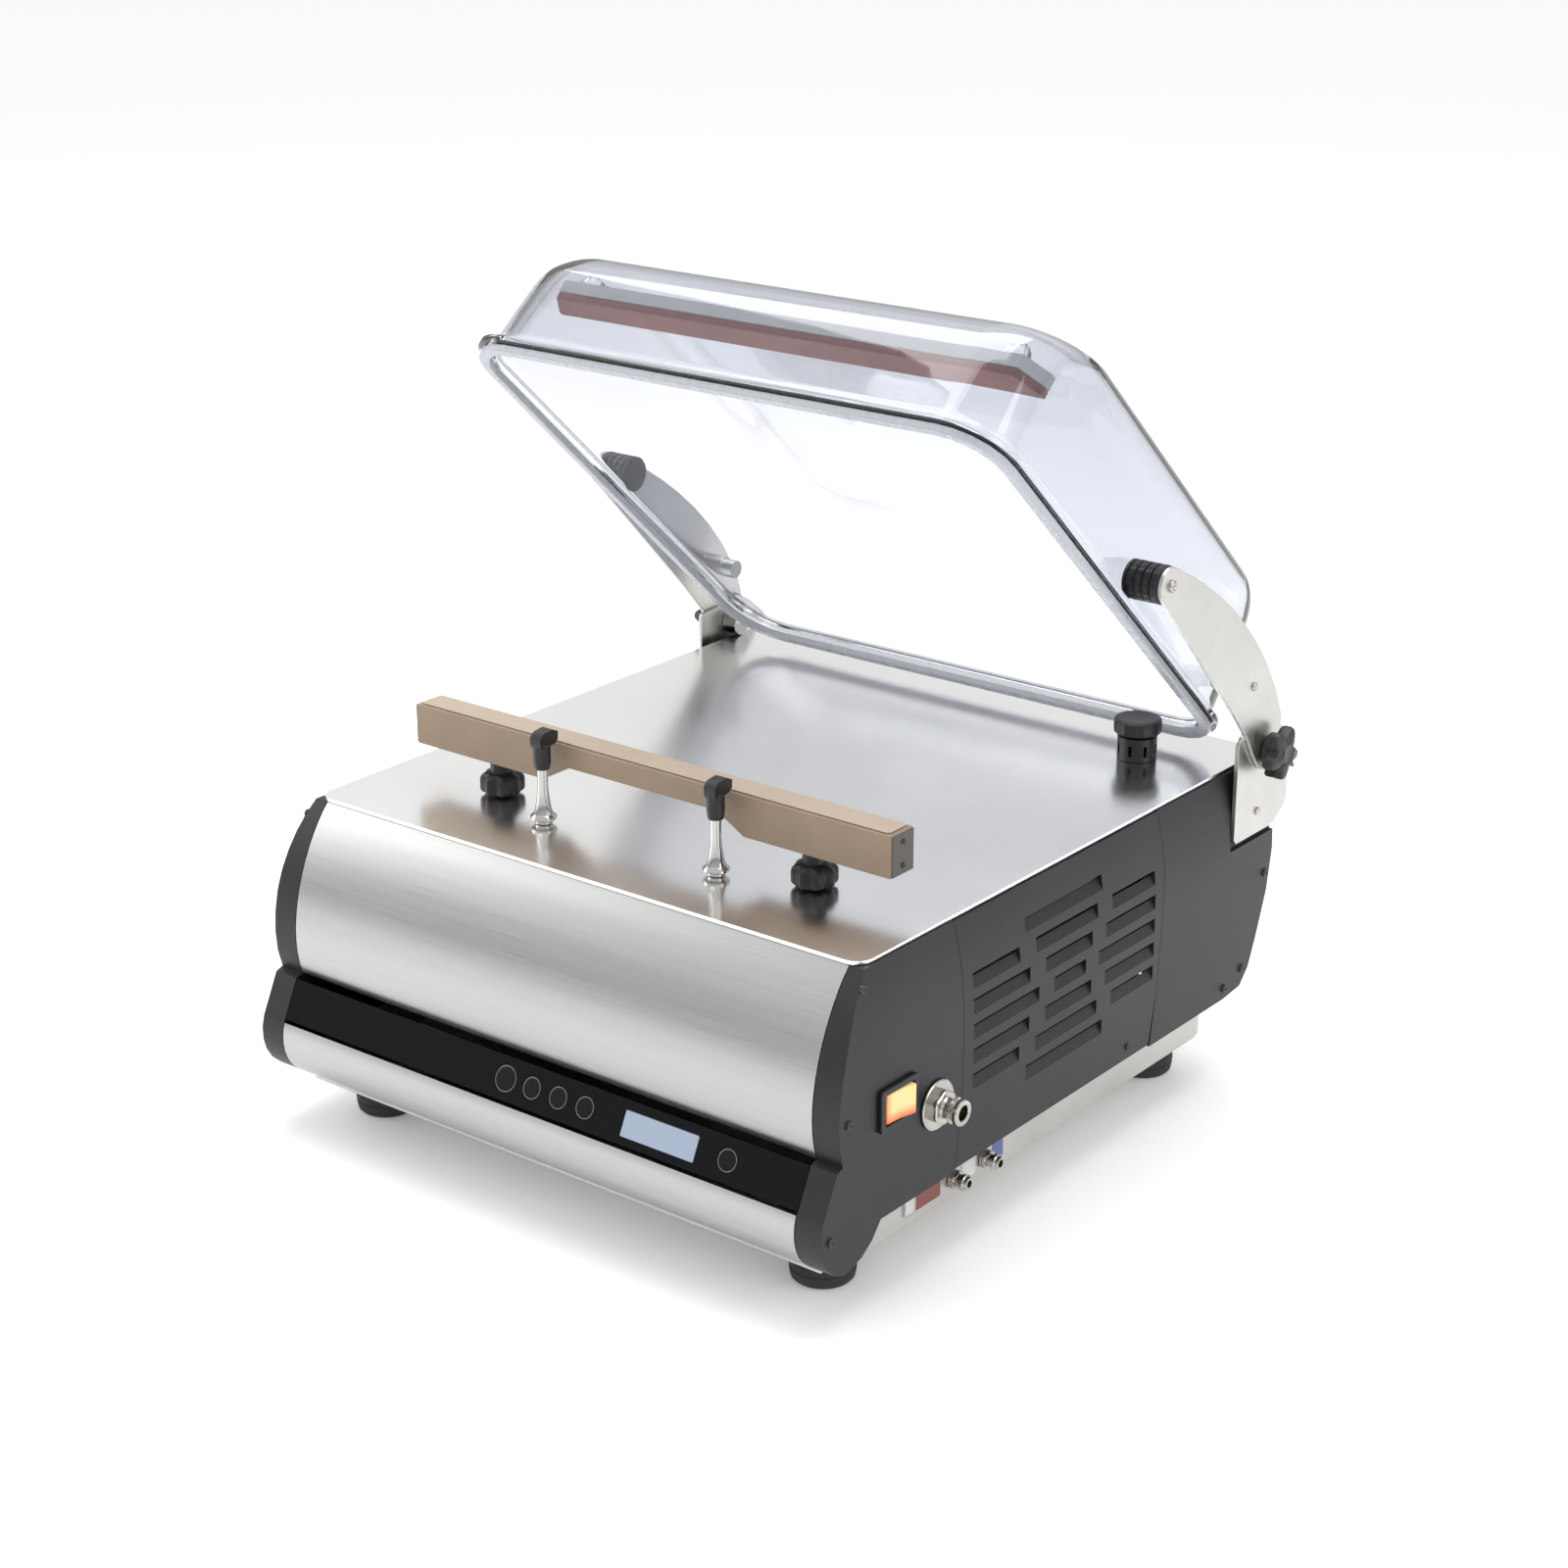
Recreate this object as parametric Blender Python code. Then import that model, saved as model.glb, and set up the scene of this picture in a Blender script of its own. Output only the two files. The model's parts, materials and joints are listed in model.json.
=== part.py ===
"""Table-top vacuum packing machine with a domed clear lid, standing open on four rubber feet.

Units are metres, +Z is up, the front faces -Y and the origin is on the floor under the middle.
Outlines of the body are given in millimetres as (v, z): v runs back from the front edge of the top
plate and z runs up from the floor. Outlines of the lid are given in millimetres as (s, n): s runs
forward from the hinge axis along the closed lid and n runs up from the axis.
"""

import math

import bmesh
import bpy
from mathutils import Matrix, Vector

MM = 0.001
GAP = 0.3

# Driving dimensions, millimetres.
FRONT_EDGE_Y = -236.39
INNER_HALF = 225.0
SHELL_HALF = 245.5
PLATE_TOP = 232.8
PLATE_THICKNESS = 2.5
PLATE_HALF = 234.0
BODY_BACK = 485.0
SHEET = 1.6
FOOT_HEIGHT = 28.5
PIVOT_V, PIVOT_Z = 462.6, 242.0
LID_OPEN_DEGREES = 42.7
BAR_V, BAR_HALF, BAR_THICKNESS, BAR_TOP = 82.0, 204.6, 24.0, 286.8
PLUNGER_X = 136.0
NOZZLE_X, NOZZLE_V = 75.0, 57.0
ARM_INNER, ARM_THICKNESS = 246.0, 3.0
BRACKET_INNER = 242.6
SHELL_WALL, COVER_THICKNESS = 6.5, 3.1
FILTER_X, FILTER_V = 171.0, 414.0
SWITCH_V, SWITCH_Z = 23.0, 135.0
BARB_V, BARB_Z = 65.6, 117.0
FITTING_Z = 42.0
PUMP_X, PUMP_V, PUMP_Z = -60.0, 250.0, 100.0
SPACER_S, SPACER_N = 210.0, 17.0
RIM_BOLT_S, RIM_BOLT_N = 54.0, 23.0
OUTSIDE = 262.0
SHELL_LEVELS = (160.0, 174.0, 187.0, 199.0, 210.0, 220.0, 230.0)


# ---------------------------------------------------------------- scene and materials

for stale in list(bpy.data.objects):
    bpy.data.objects.remove(stale, do_unlink=True)


def material(name, colour, roughness, metallic, alpha=1.0):
    made = bpy.data.materials.new(name)
    made.use_nodes = True
    shader = made.node_tree.nodes["Principled BSDF"]
    shader.inputs["Base Color"].default_value = (*colour, 1.0)
    shader.inputs["Roughness"].default_value = roughness
    shader.inputs["Metallic"].default_value = metallic
    shader.inputs["Alpha"].default_value = alpha
    return made


BRUSHED = material("brushed_stainless", (0.62, 0.62, 0.61), 0.34, 1.0)
SATIN = material("satin_stainless", (0.60, 0.59, 0.57), 0.42, 1.0)
CHROME = material("chrome_plate", (0.75, 0.75, 0.76), 0.12, 1.0)
CHARCOAL = material("charcoal_moulding", (0.050, 0.054, 0.060), 0.5, 0.0)
GLOSS_BLACK = material("gloss_black_panel", (0.012, 0.012, 0.014), 0.12, 0.0)
BLACK_KNOB = material("black_knob", (0.022, 0.022, 0.025), 0.4, 0.0)
RUBBER = material("black_rubber", (0.02, 0.02, 0.02), 0.8, 0.0)
CLEAR = material("clear_lid", (0.90, 0.92, 0.94), 0.05, 0.0, 0.3)
GASKET = material("grey_gasket", (0.35, 0.36, 0.38), 0.6, 0.0)
SILICONE = material("dark_red_silicone", (0.22, 0.05, 0.05), 0.55, 0.0)
ALLOY = material("grey_alloy", (0.45, 0.46, 0.48), 0.4, 1.0)
TAN_COVER = material("tan_bar_cover", (0.40, 0.28, 0.17), 0.55, 0.0)
AMBER = material("amber_lens", (0.95, 0.55, 0.12), 0.3, 0.0)
LCD = material("pale_blue_display", (0.55, 0.63, 0.75), 0.2, 0.0)
CAST = material("cast_housing", (0.25, 0.26, 0.27), 0.5, 1.0)
BOARD = material("green_board", (0.03, 0.16, 0.07), 0.5, 0.0)
HOSE = material("clear_hose", (0.55, 0.55, 0.52), 0.4, 0.0)


# ---------------------------------------------------------------- making solids

def body_point(x, v, z):
    """Millimetres in the body's own frame to metres in the world's."""
    return Vector((x * MM, (v + FRONT_EDGE_Y) * MM, z * MM))


def lid_point(x, s, n):
    """Millimetres in the closed lid's frame to metres from the hinge axis."""
    return Vector((x * MM, -s * MM, n * MM))


def node(name, mesh, finish, parent=None, smooth_angle=32.0):
    bm = bmesh.new()
    bm.from_mesh(mesh)
    bmesh.ops.remove_doubles(bm, verts=bm.verts, dist=1e-7)
    bmesh.ops.recalc_face_normals(bm, faces=bm.faces)
    bm.to_mesh(mesh)
    bm.free()
    mesh.materials.clear()
    mesh.materials.append(finish)
    mesh.shade_smooth()
    mesh.set_sharp_from_angle(angle=math.radians(smooth_angle))
    made = bpy.data.objects.new(name, mesh)
    bpy.context.scene.collection.objects.link(made)
    made.parent = parent
    return made


def mesh_from(points, faces, name="solid"):
    mesh = bpy.data.meshes.new(name)
    mesh.from_pydata([tuple(p) for p in points], [], faces)
    return mesh


def prism(outline, place, low, high):
    """A flat outline carried from low to high; place(a, b, t) puts its points."""
    count = len(outline)
    points = [place(a, b, low) for a, b in outline] + [place(a, b, high) for a, b in outline]
    faces = [tuple(range(count))[::-1], tuple(range(count, 2 * count))]
    faces += [(i, (i + 1) % count, count + (i + 1) % count, count + i) for i in range(count)]
    return mesh_from(points, faces)


def loft(rings):
    """Rings of equally many points joined side to side, with both ends closed."""
    count = len(rings[0])
    points = [p for ring in rings for p in ring]
    faces = [tuple(range(count))[::-1]]
    for level in range(len(rings) - 1):
        base = level * count
        for i in range(count):
            j = (i + 1) % count
            faces.append((base + i, base + j, base + count + j, base + count + i))
    last = (len(rings) - 1) * count
    faces.append(tuple(range(last, last + count)))
    return mesh_from(points, faces)


def turned(profile, place, segments=24, lobes=0, lobe_depth=0.0, lobed=()):
    """A profile of (radius, height) turned about an axis, with lobes on the rings named in lobed."""
    rings = []
    for index, (radius, height) in enumerate(profile):
        ring = []
        for i in range(segments):
            angle = 2.0 * math.pi * i / segments
            reach = radius
            if index in lobed:
                reach -= lobe_depth * (0.5 - 0.5 * math.cos(lobes * angle))
            ring.append(place(reach * math.cos(angle), reach * math.sin(angle), height))
        rings.append(ring)
    return loft(rings)


def tube(outer, inner, low, high, place, segments=24):
    """A straight tube, open at both ends."""
    points, faces = [], []
    for radius, height in ((outer, low), (outer, high), (inner, high), (inner, low)):
        for i in range(segments):
            angle = 2.0 * math.pi * i / segments
            points.append(place(radius * math.cos(angle), radius * math.sin(angle), height))
    for ring in range(4):
        for i in range(segments):
            j = (i + 1) % segments
            a, b = ring * segments, ((ring + 1) % 4) * segments
            faces.append((a + i, a + j, b + j, b + i))
    return mesh_from(points, faces)


def along_x(v, z, side=1.0):
    return lambda a, b, t: body_point(side * t, v + a, z + b)


def along_z(x, v):
    return lambda a, b, t: body_point(x + a, v + b, t)


def side_view(a, b, t):
    return body_point(t, a, b)


def plan_view(a, b, t):
    return body_point(a, b, t)


def box(low, high):
    """A plain block between two corners, millimetres in the body's frame."""
    outline = [(low[0], low[1]), (high[0], low[1]), (high[0], high[1]), (low[0], high[1])]
    return prism(outline, plan_view, low[2], high[2])


def arc(centre, radius, start, end, steps):
    """Points on an arc, angles in degrees."""
    found = []
    for i in range(steps + 1):
        angle = math.radians(start + (end - start) * i / steps)
        found.append((centre[0] + radius * math.cos(angle), centre[1] + radius * math.sin(angle)))
    return found


def rounded_rectangle(a0, a1, b0, b1, radius, steps=3):
    outline = []
    for (a, b), start in (((a1 - radius, b1 - radius), 0), ((a0 + radius, b1 - radius), 90),
                          ((a0 + radius, b0 + radius), 180), ((a1 - radius, b0 + radius), 270)):
        outline += arc((a, b), radius, start, start + 90, steps)
    return outline


def bezier(p0, p1, p2, p3, steps):
    found = []
    for i in range(steps + 1):
        t = i / steps
        weights = ((1 - t) ** 3, 3 * t * (1 - t) ** 2, 3 * t * t * (1 - t), t ** 3)
        found.append(tuple(sum(w * p[k] for w, p in zip(weights, (p0, p1, p2, p3))) for k in (0, 1)))
    return found


def thickened(line, thickness):
    """A line of (a, b) points given a thickness to its left, as a closed outline."""
    inner = []
    for i, point in enumerate(line):
        before, after = line[max(i - 1, 0)], line[min(i + 1, len(line) - 1)]
        along = Vector((after[0] - before[0], after[1] - before[1])).normalized()
        inner.append((point[0] - along.y * thickness, point[1] + along.x * thickness))
    return line + inner[::-1]


def cutter(mesh, parent=None):
    made = node("cutter", mesh, CHARCOAL, parent)
    made.hide_render = True
    made.display_type = "WIRE"
    return made


def combine(target, tool_mesh, operation="DIFFERENCE"):
    tool = cutter(tool_mesh, target.parent)
    step = target.modifiers.new(operation.lower(), "BOOLEAN")
    step.operation = operation
    step.object = tool
    step.solver = "EXACT"


def joined(meshes):
    """Several separate shapes as one mesh, for a cutter with many teeth."""
    bm = bmesh.new()
    for mesh in meshes:
        bmesh.ops.recalc_face_normals(bm, faces=bm.faces)
        bm.from_mesh(mesh)
    mesh = bpy.data.meshes.new("joined")
    bm.to_mesh(mesh)
    bm.free()
    return mesh


# ---------------------------------------------------------------- body outlines

UPPER_FRONT = ((0.5, 229.8), (-24.0, 205.0), (-46.0, 150.0), (-31.5, 112.0))
STRIP_TOP, STRIP_BOTTOM = (-37.5, 110.0), (-50.6, 83.0)
LOWER_FRONT = ((-51.5, 81.0), (-57.5, 66.0), (-52.0, 43.0), (-30.0, 36.5))
REAR_LINE = [(425.0, 60.0), (448.0, 62.5), (459.0, 74.0), (468.0, 95.0), (480.0, 128.0),
             (BODY_BACK, 158.0), (BODY_BACK, 229.8)]


def shell_half(z):
    """Outer half width of the side shells: upright at first, then leaning in towards the top."""
    if z <= SHELL_LEVELS[0]:
        return SHELL_HALF
    level = 0
    while level < len(SHELL_LEVELS) - 2 and z > SHELL_LEVELS[level + 1]:
        level += 1
    low, high = SHELL_LEVELS[level], SHELL_LEVELS[level + 1]
    start, end = (SHELL_HALF - 9.5 * ((edge - SHELL_LEVELS[0]) / 70.0) ** 2 for edge in (low, high))
    return start + (end - start) * (z - low) / (high - low)


def leaning_plate(outline, side, inner, outer):
    """A side-view outline between two faces, each a function of height, cut level by level."""
    flat = prism(outline, side_view, 0.0, 1.0)
    bm = bmesh.new()
    bm.from_mesh(flat)
    for level in SHELL_LEVELS[:-1]:
        bmesh.ops.bisect_plane(bm, geom=bm.verts[:] + bm.edges[:] + bm.faces[:],
                               plane_co=(0.0, 0.0, level * MM), plane_no=(0.0, 0.0, 1.0))
    for vert in bm.verts:
        height = vert.co.z / MM
        vert.co.x = side * MM * (outer(height) if vert.co.x > 0.5 * MM else inner(height))
    bm.to_mesh(flat)
    bm.free()
    return flat


# ---------------------------------------------------------------- base tray, feet and rear panel

def make_base():
    def tray_outline(inset):
        narrow, wide, front, rear = INNER_HALF - 0.5 - inset, 230.0 - inset, -26.0 + inset, 430.0 - inset
        return ([(-narrow, front), (narrow, front), (narrow, 10.0 + inset), (wide, 12.0 + inset)]
                + arc((wide - 16.0, rear - 16.0), 16.0, 0, 90, 3)
                + arc((16.0 - wide, rear - 16.0), 16.0, 90, 180, 3)
                + [(-wide, 12.0 + inset), (-narrow, 10.0 + inset)])

    tray = node("base_tray", prism(tray_outline(0.0), plan_view, FOOT_HEIGHT + GAP, 58.0), SATIN)
    combine(tray, prism(tray_outline(SHEET), plan_view, FOOT_HEIGHT + GAP + SHEET, 70.0))
    for side, left_or_right in ((-1, "left"), (1, "right")):
        for v, front_or_rear in ((15.0, "front"), (400.0, "rear")):
            profile = [(19.0, 0.0), (21.5, 2.5), (23.5, FOOT_HEIGHT - 4.0), (22.0, FOOT_HEIGHT)]
            node(f"foot_{front_or_rear}_{left_or_right}",
                 turned(profile, along_z(side * 195.0, v), 20), RUBBER)
    rear_line = [(436.0, 60.8)] + [(v - 0.6, z) for v, z in REAR_LINE[1:-1]] + [(BODY_BACK - 0.6, 229.8)]
    rear = node("rear_panel", prism(thickened(rear_line, SHEET), side_view,
                                    -INNER_HALF + GAP, INNER_HALF - GAP), SATIN)
    slots = [box((x - 3.0, 470.0, 175.0), (x + 3.0, 500.0, 212.0)) for x in range(-150, -20, 18)]
    slots.append(box((110.0, 470.0, 176.0), (138.0, 500.0, 200.0)))
    combine(rear, joined(slots))


# ---------------------------------------------------------------- side shells and vent covers

def shell_outline():
    return (bezier(*UPPER_FRONT, 9) + [STRIP_TOP, STRIP_BOTTOM] + bezier(*LOWER_FRONT, 6)
            + [(-12.0, 41.5), (-1.0, 49.0), (8.0, 60.0)] + REAR_LINE)


COVER_OUTLINE = [(95.0, 229.5), (95.0, 120.0), (88.5, 62.0), (322.0, 62.0), (330.0, 100.0),
                 (336.5, 190.0), (336.5, 229.5)]
COVER_REST_OUTLINE = [(94.65, 229.85), (94.65, 120.35), (88.15, 62.0), (88.15, 50.0), (322.35, 50.0),
                      (330.35, 100.0), (336.85, 190.0), (336.85, 240.0), (94.65, 240.0)]
SHELL_HOLLOW = [(-8.0, 213.0), (-16.0, 200.0), (-22.0, 120.0), (-14.0, 66.0), (440.0, 66.0),
                (470.0, 140.0), (470.0, 224.0), (0.0, 224.0)]


def louvre_rows():
    """(front, rear, row) of each louvre: three columns whose ends bow towards each other."""
    found = []
    for row in range(-3, 4):
        step = abs(row)
        if step < 3:
            found.append((106.0, 181.0 - 11.0 * step, row))
            found.append((253.0 + 8.5 * step, 324.0, row))
        found.append((199.0 - 10.5 * step, 237.0 + 7.5 * step, row))
    return found


def louvre_teeth(side):
    pitch, middle, height, depth = 17.5, 152.0, 10.5, 4.6
    teeth = []
    for front, rear, row in louvre_rows():
        top = middle + pitch * row + 0.5 * height
        bottom = top - height
        section = [(shell_half(top) + 2.0, top), (shell_half(top) - depth, top),
                   (shell_half(bottom) - 0.2, bottom), (shell_half(bottom) + 2.0, bottom)]
        teeth.append(prism(section, lambda a, b, t: body_point(side * a, t, b), front, rear))
    return joined(teeth)


def make_sides():
    for side, word in ((-1, "left"), (1, "right")):
        shell = node(f"side_shell_{word}",
                     leaning_plate(shell_outline(), side, lambda z: INNER_HALF + GAP, shell_half), CHARCOAL)
        combine(shell, leaning_plate(SHELL_HOLLOW, side, lambda z: INNER_HALF - 5.0,
                                     lambda z: shell_half(z) - SHELL_WALL))
        combine(shell, leaning_plate(COVER_REST_OUTLINE, side,
                                     lambda z: shell_half(z) - COVER_THICKNESS - GAP, lambda z: OUTSIDE))
        window = [(104.0, 88.0), (318.0, 88.0), (326.0, 205.0), (104.0, 205.0)]
        combine(shell, prism(window, side_view, side * 220.0, side * OUTSIDE))
        cover = node(f"vent_cover_{word}",
                     leaning_plate(COVER_OUTLINE, side, lambda z: shell_half(z) - COVER_THICKNESS, shell_half),
                     CHARCOAL)
        combine(cover, louvre_teeth(side))
        bracket_rest = [(425.0, 174.0), (BODY_BACK + 20.0, 174.0), (BODY_BACK + 20.0, 240.0), (425.0, 240.0)]
        combine(shell, prism(bracket_rest, side_view, side * (BRACKET_INNER - GAP), side * OUTSIDE))
        if side > 0:
            combine(shell, box((215.0, SWITCH_V - 16.9, SWITCH_Z - 12.5),
                               (OUTSIDE, SWITCH_V + 16.9, SWITCH_Z + 12.5)))
            combine(shell, turned([(6.5, 215.0), (6.5, OUTSIDE)], along_x(BARB_V, BARB_Z), 16))


# ---------------------------------------------------------------- front panels and keys

KEY_HOLES = [("key_start", -22.0, 9.5), ("key_cycle", 1.0, 8.0), ("key_minus", 24.0, 8.0),
             ("key_plus", 47.0, 8.0), ("key_stop", 165.0, 8.0)]
STRIP_THICKNESS = 3.0


def strip_frame(x, along):
    """World matrix at a place on the control strip: its local +Z looks out of the strip."""
    down = Vector((0.0, STRIP_BOTTOM[0] - STRIP_TOP[0], STRIP_BOTTOM[1] - STRIP_TOP[1])).normalized()
    outward = Vector((0.0, down.z, -down.y))
    across = Vector((1.0, 0.0, 0.0))
    spot = body_point(x, STRIP_TOP[0], STRIP_TOP[1]) + down * along * MM
    turn = Matrix((across, -down, outward)).transposed().to_4x4()
    return Matrix.Translation(spot) @ turn


def make_front():
    reach = INNER_HALF - GAP
    node("front_panel", prism(thickened(bezier(*UPPER_FRONT, 14), SHEET), side_view, -reach, reach), BRUSHED)
    node("lower_band", prism(thickened(bezier(*LOWER_FRONT, 10), SHEET), side_view, -reach, reach), BRUSHED)
    length = math.dist(STRIP_TOP, STRIP_BOTTOM)
    frame = strip_frame(0.0, 0.5 * length)

    def on_strip(a, b, t):
        return frame @ Vector((a * MM, b * MM, t * MM))

    strip = node("control_strip",
                 prism(rounded_rectangle(-reach, reach, -0.5 * length + 0.5, 0.5 * length - 0.3, 0.6, 1),
                       on_strip, -STRIP_THICKNESS, 0.0), GLOSS_BLACK)
    holes = [prism(rounded_rectangle(79.0, 140.0, -9.5, 8.5, 0.8, 1), on_strip, -6.0, 3.0)]
    for _, x, radius in KEY_HOLES:
        holes.append(prism(arc((x, 0.0), radius + 0.3, 0, 345, 23), on_strip, -6.0, 3.0))
    combine(strip, joined(holes))
    node("display_window", prism(rounded_rectangle(79.3, 139.7, -9.2, 8.2, 0.6, 1), on_strip,
                                 -STRIP_THICKNESS, -0.25), LCD)
    for name, x, radius in KEY_HOLES:
        slide = bpy.data.objects.new(f"{name}_axis", None)
        bpy.context.scene.collection.objects.link(slide)
        slide.matrix_world = strip_frame(x, 0.5 * length)
        profile = [(radius, -2.2), (radius, -0.1), (radius - 0.5, 0.25), (radius - 1.6, 0.4)]
        node(name, turned(profile, lambda a, b, t: Vector((a * MM, b * MM, t * MM)), 24),
             GLOSS_BLACK, slide)


# ---------------------------------------------------------------- top plate and what stands on it

def make_top():
    outline = (arc((-PLATE_HALF + 12.0, 12.0), 12.0, 180, 270, 4)
               + arc((PLATE_HALF - 12.0, 12.0), 12.0, 270, 360, 4)
               + arc((PLATE_HALF - 8.0, BODY_BACK - 8.0), 8.0, 0, 90, 3)
               + arc((-PLATE_HALF + 8.0, BODY_BACK - 8.0), 8.0, 90, 180, 3))
    low = PLATE_TOP - PLATE_THICKNESS
    plate = node("top_plate", prism(outline, plan_view, low, PLATE_TOP), BRUSHED)
    holes = []
    for side in (-1, 1):
        holes.append(turned([(6.0, 220.0), (6.0, 240.0)], along_z(side * PLUNGER_X, BAR_V), 20))
        holes.append(turned([(4.3, 220.0), (4.3, 240.0)], along_z(side * NOZZLE_X, NOZZLE_V), 16))
    holes.append(turned([(10.3, 220.0), (10.3, 240.0)], along_z(FILTER_X, FILTER_V), 20))
    combine(plate, joined(holes))
    foot = PLATE_TOP + GAP
    body = [(10.0, 214.0), (10.0, foot), (14.2, foot), (14.2, 250.0), (10.0, 250.4), (10.0, 252.0)]
    strainer = node("suction_filter", turned(body, along_z(FILTER_X, FILTER_V), 24), BLACK_KNOB)
    bore = [turned([(6.0, 205.0), (6.0, 246.0)], along_z(FILTER_X, FILTER_V), 12)]
    for k in range(4):
        turn = Matrix.Rotation(math.radians(45.0 * k + 11.0), 3, "Z")
        bore.append(prism([(-20.0, -1.2), (20.0, -1.2), (20.0, 1.2), (-20.0, 1.2)],
                          lambda a, b, t, turn=turn: body_point(*(turn @ Vector((a, b, 0.0)))[:2], t)
                          + Vector((FILTER_X * MM, FILTER_V * MM, 0.0)), 237.0, 245.0))
    for tool in bore:
        combine(strainer, tool)
    cap = [(17.3, 252.3), (17.3, 261.0), (16.0, 263.0)]
    node("suction_cap", turned(cap, along_z(FILTER_X, FILTER_V), 28), BLACK_KNOB)
    for side, word in ((-1, "left"), (1, "right")):
        profile = [(3.8, 212.0), (3.8, foot), (6.0, foot), (6.0, 235.5), (9.0, 236.2), (9.0, 239.0),
                   (6.6, 240.5), (5.0, 248.0), (3.6, 258.0), (3.6, 281.0)]
        node(f"nozzle_stem_{word}", turned(profile, along_z(side * NOZZLE_X, NOZZLE_V), 20), CHROME)


def make_nozzle_heads():
    for side, word in ((-1, "left"), (1, "right")):
        pivot = bpy.data.objects.new(f"nozzle_swivel_{word}", None)
        pivot.location = body_point(side * NOZZLE_X, NOZZLE_V, 0.0)
        bpy.context.scene.collection.objects.link(pivot)

        def place(a, b, t):
            return Vector((a * MM, b * MM, t * MM))

        head = node(f"nozzle_head_{word}",
                    turned([(5.2, 272.0), (6.0, 277.0), (6.0, 288.0), (5.0, 289.5)], place, 20),
                    BLACK_KNOB, pivot)
        arm_outline = [(-6.4, 290.0), (-5.0, 286.5), (8.5, 288.5), (11.2, 291.0), (11.4, 296.5),
                       (6.0, 299.0), (-3.0, 298.0), (-6.4, 294.5)]
        combine(head, prism(arm_outline, lambda a, b, t: place(t, a, b), -4.6, 4.6), "UNION")
        combine(head, turned([(3.9, 265.0), (3.9, 281.3)], place, 16))


# ---------------------------------------------------------------- sealing bar and its lift

def make_sealing_bar():
    lift = bpy.data.objects.new("bar_lift_axis", None)
    lift.location = body_point(0.0, BAR_V, PLATE_TOP)
    bpy.context.scene.collection.objects.link(lift)
    home = Matrix.Translation(-lift.location)

    def place(a, b, t):
        return home @ body_point(a, t, b)

    half = 0.5 * BAR_THICKNESS
    outline = [(-BAR_HALF, BAR_TOP), (-BAR_HALF, 257.6), (-87.0, 257.6), (-64.0, 270.5), (64.0, 270.5),
               (87.0, 257.6), (BAR_HALF, 257.6), (BAR_HALF, BAR_TOP)]
    bar = node("sealing_bar", prism(outline, place, BAR_V - half, BAR_V + half), TAN_COVER, lift)
    bevel = bar.modifiers.new("bevel", "BEVEL")
    bevel.width = 0.8 * MM
    bevel.segments = 1
    band = rounded_rectangle(-BAR_HALF + 3.0, BAR_HALF - 3.0, BAR_V - 10.0, BAR_V + 10.0, 2.0, 1)
    node("sealing_band", prism(band, lambda a, b, t: home @ body_point(a, b, t),
                               BAR_TOP + 0.3, BAR_TOP + 1.2), TAN_COVER, lift)
    for side, word in ((-1, "left"), (1, "right")):
        def spin(a, b, t, side=side):
            return home @ body_point(side * PLUNGER_X + a, BAR_V + b, t)

        profile = [(4.8, 206.0), (5.0, 207.0), (5.0, 234.2), (12.5, 234.2), (15.5, 236.5), (15.5, 245.5),
                   (13.5, 248.5), (8.0, 249.3), (8.0, 257.2)]
        node(f"bar_plunger_{word}", turned(profile, spin, 40, 8, 2.6, (3, 4, 5, 6)), BLACK_KNOB, lift)
        cylinder = node(f"bar_cylinder_{word}",
                        turned([(19.0, 176.0), (20.0, 178.0), (20.0, 222.0), (15.0, 224.0), (15.0, 229.9)],
                               along_z(side * PLUNGER_X, BAR_V), 24), ALLOY)
        combine(cylinder, turned([(5.6, 190.0), (5.6, 240.0)], along_z(side * PLUNGER_X, BAR_V), 20))


# ---------------------------------------------------------------- switch, hose barb and small fittings

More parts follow.
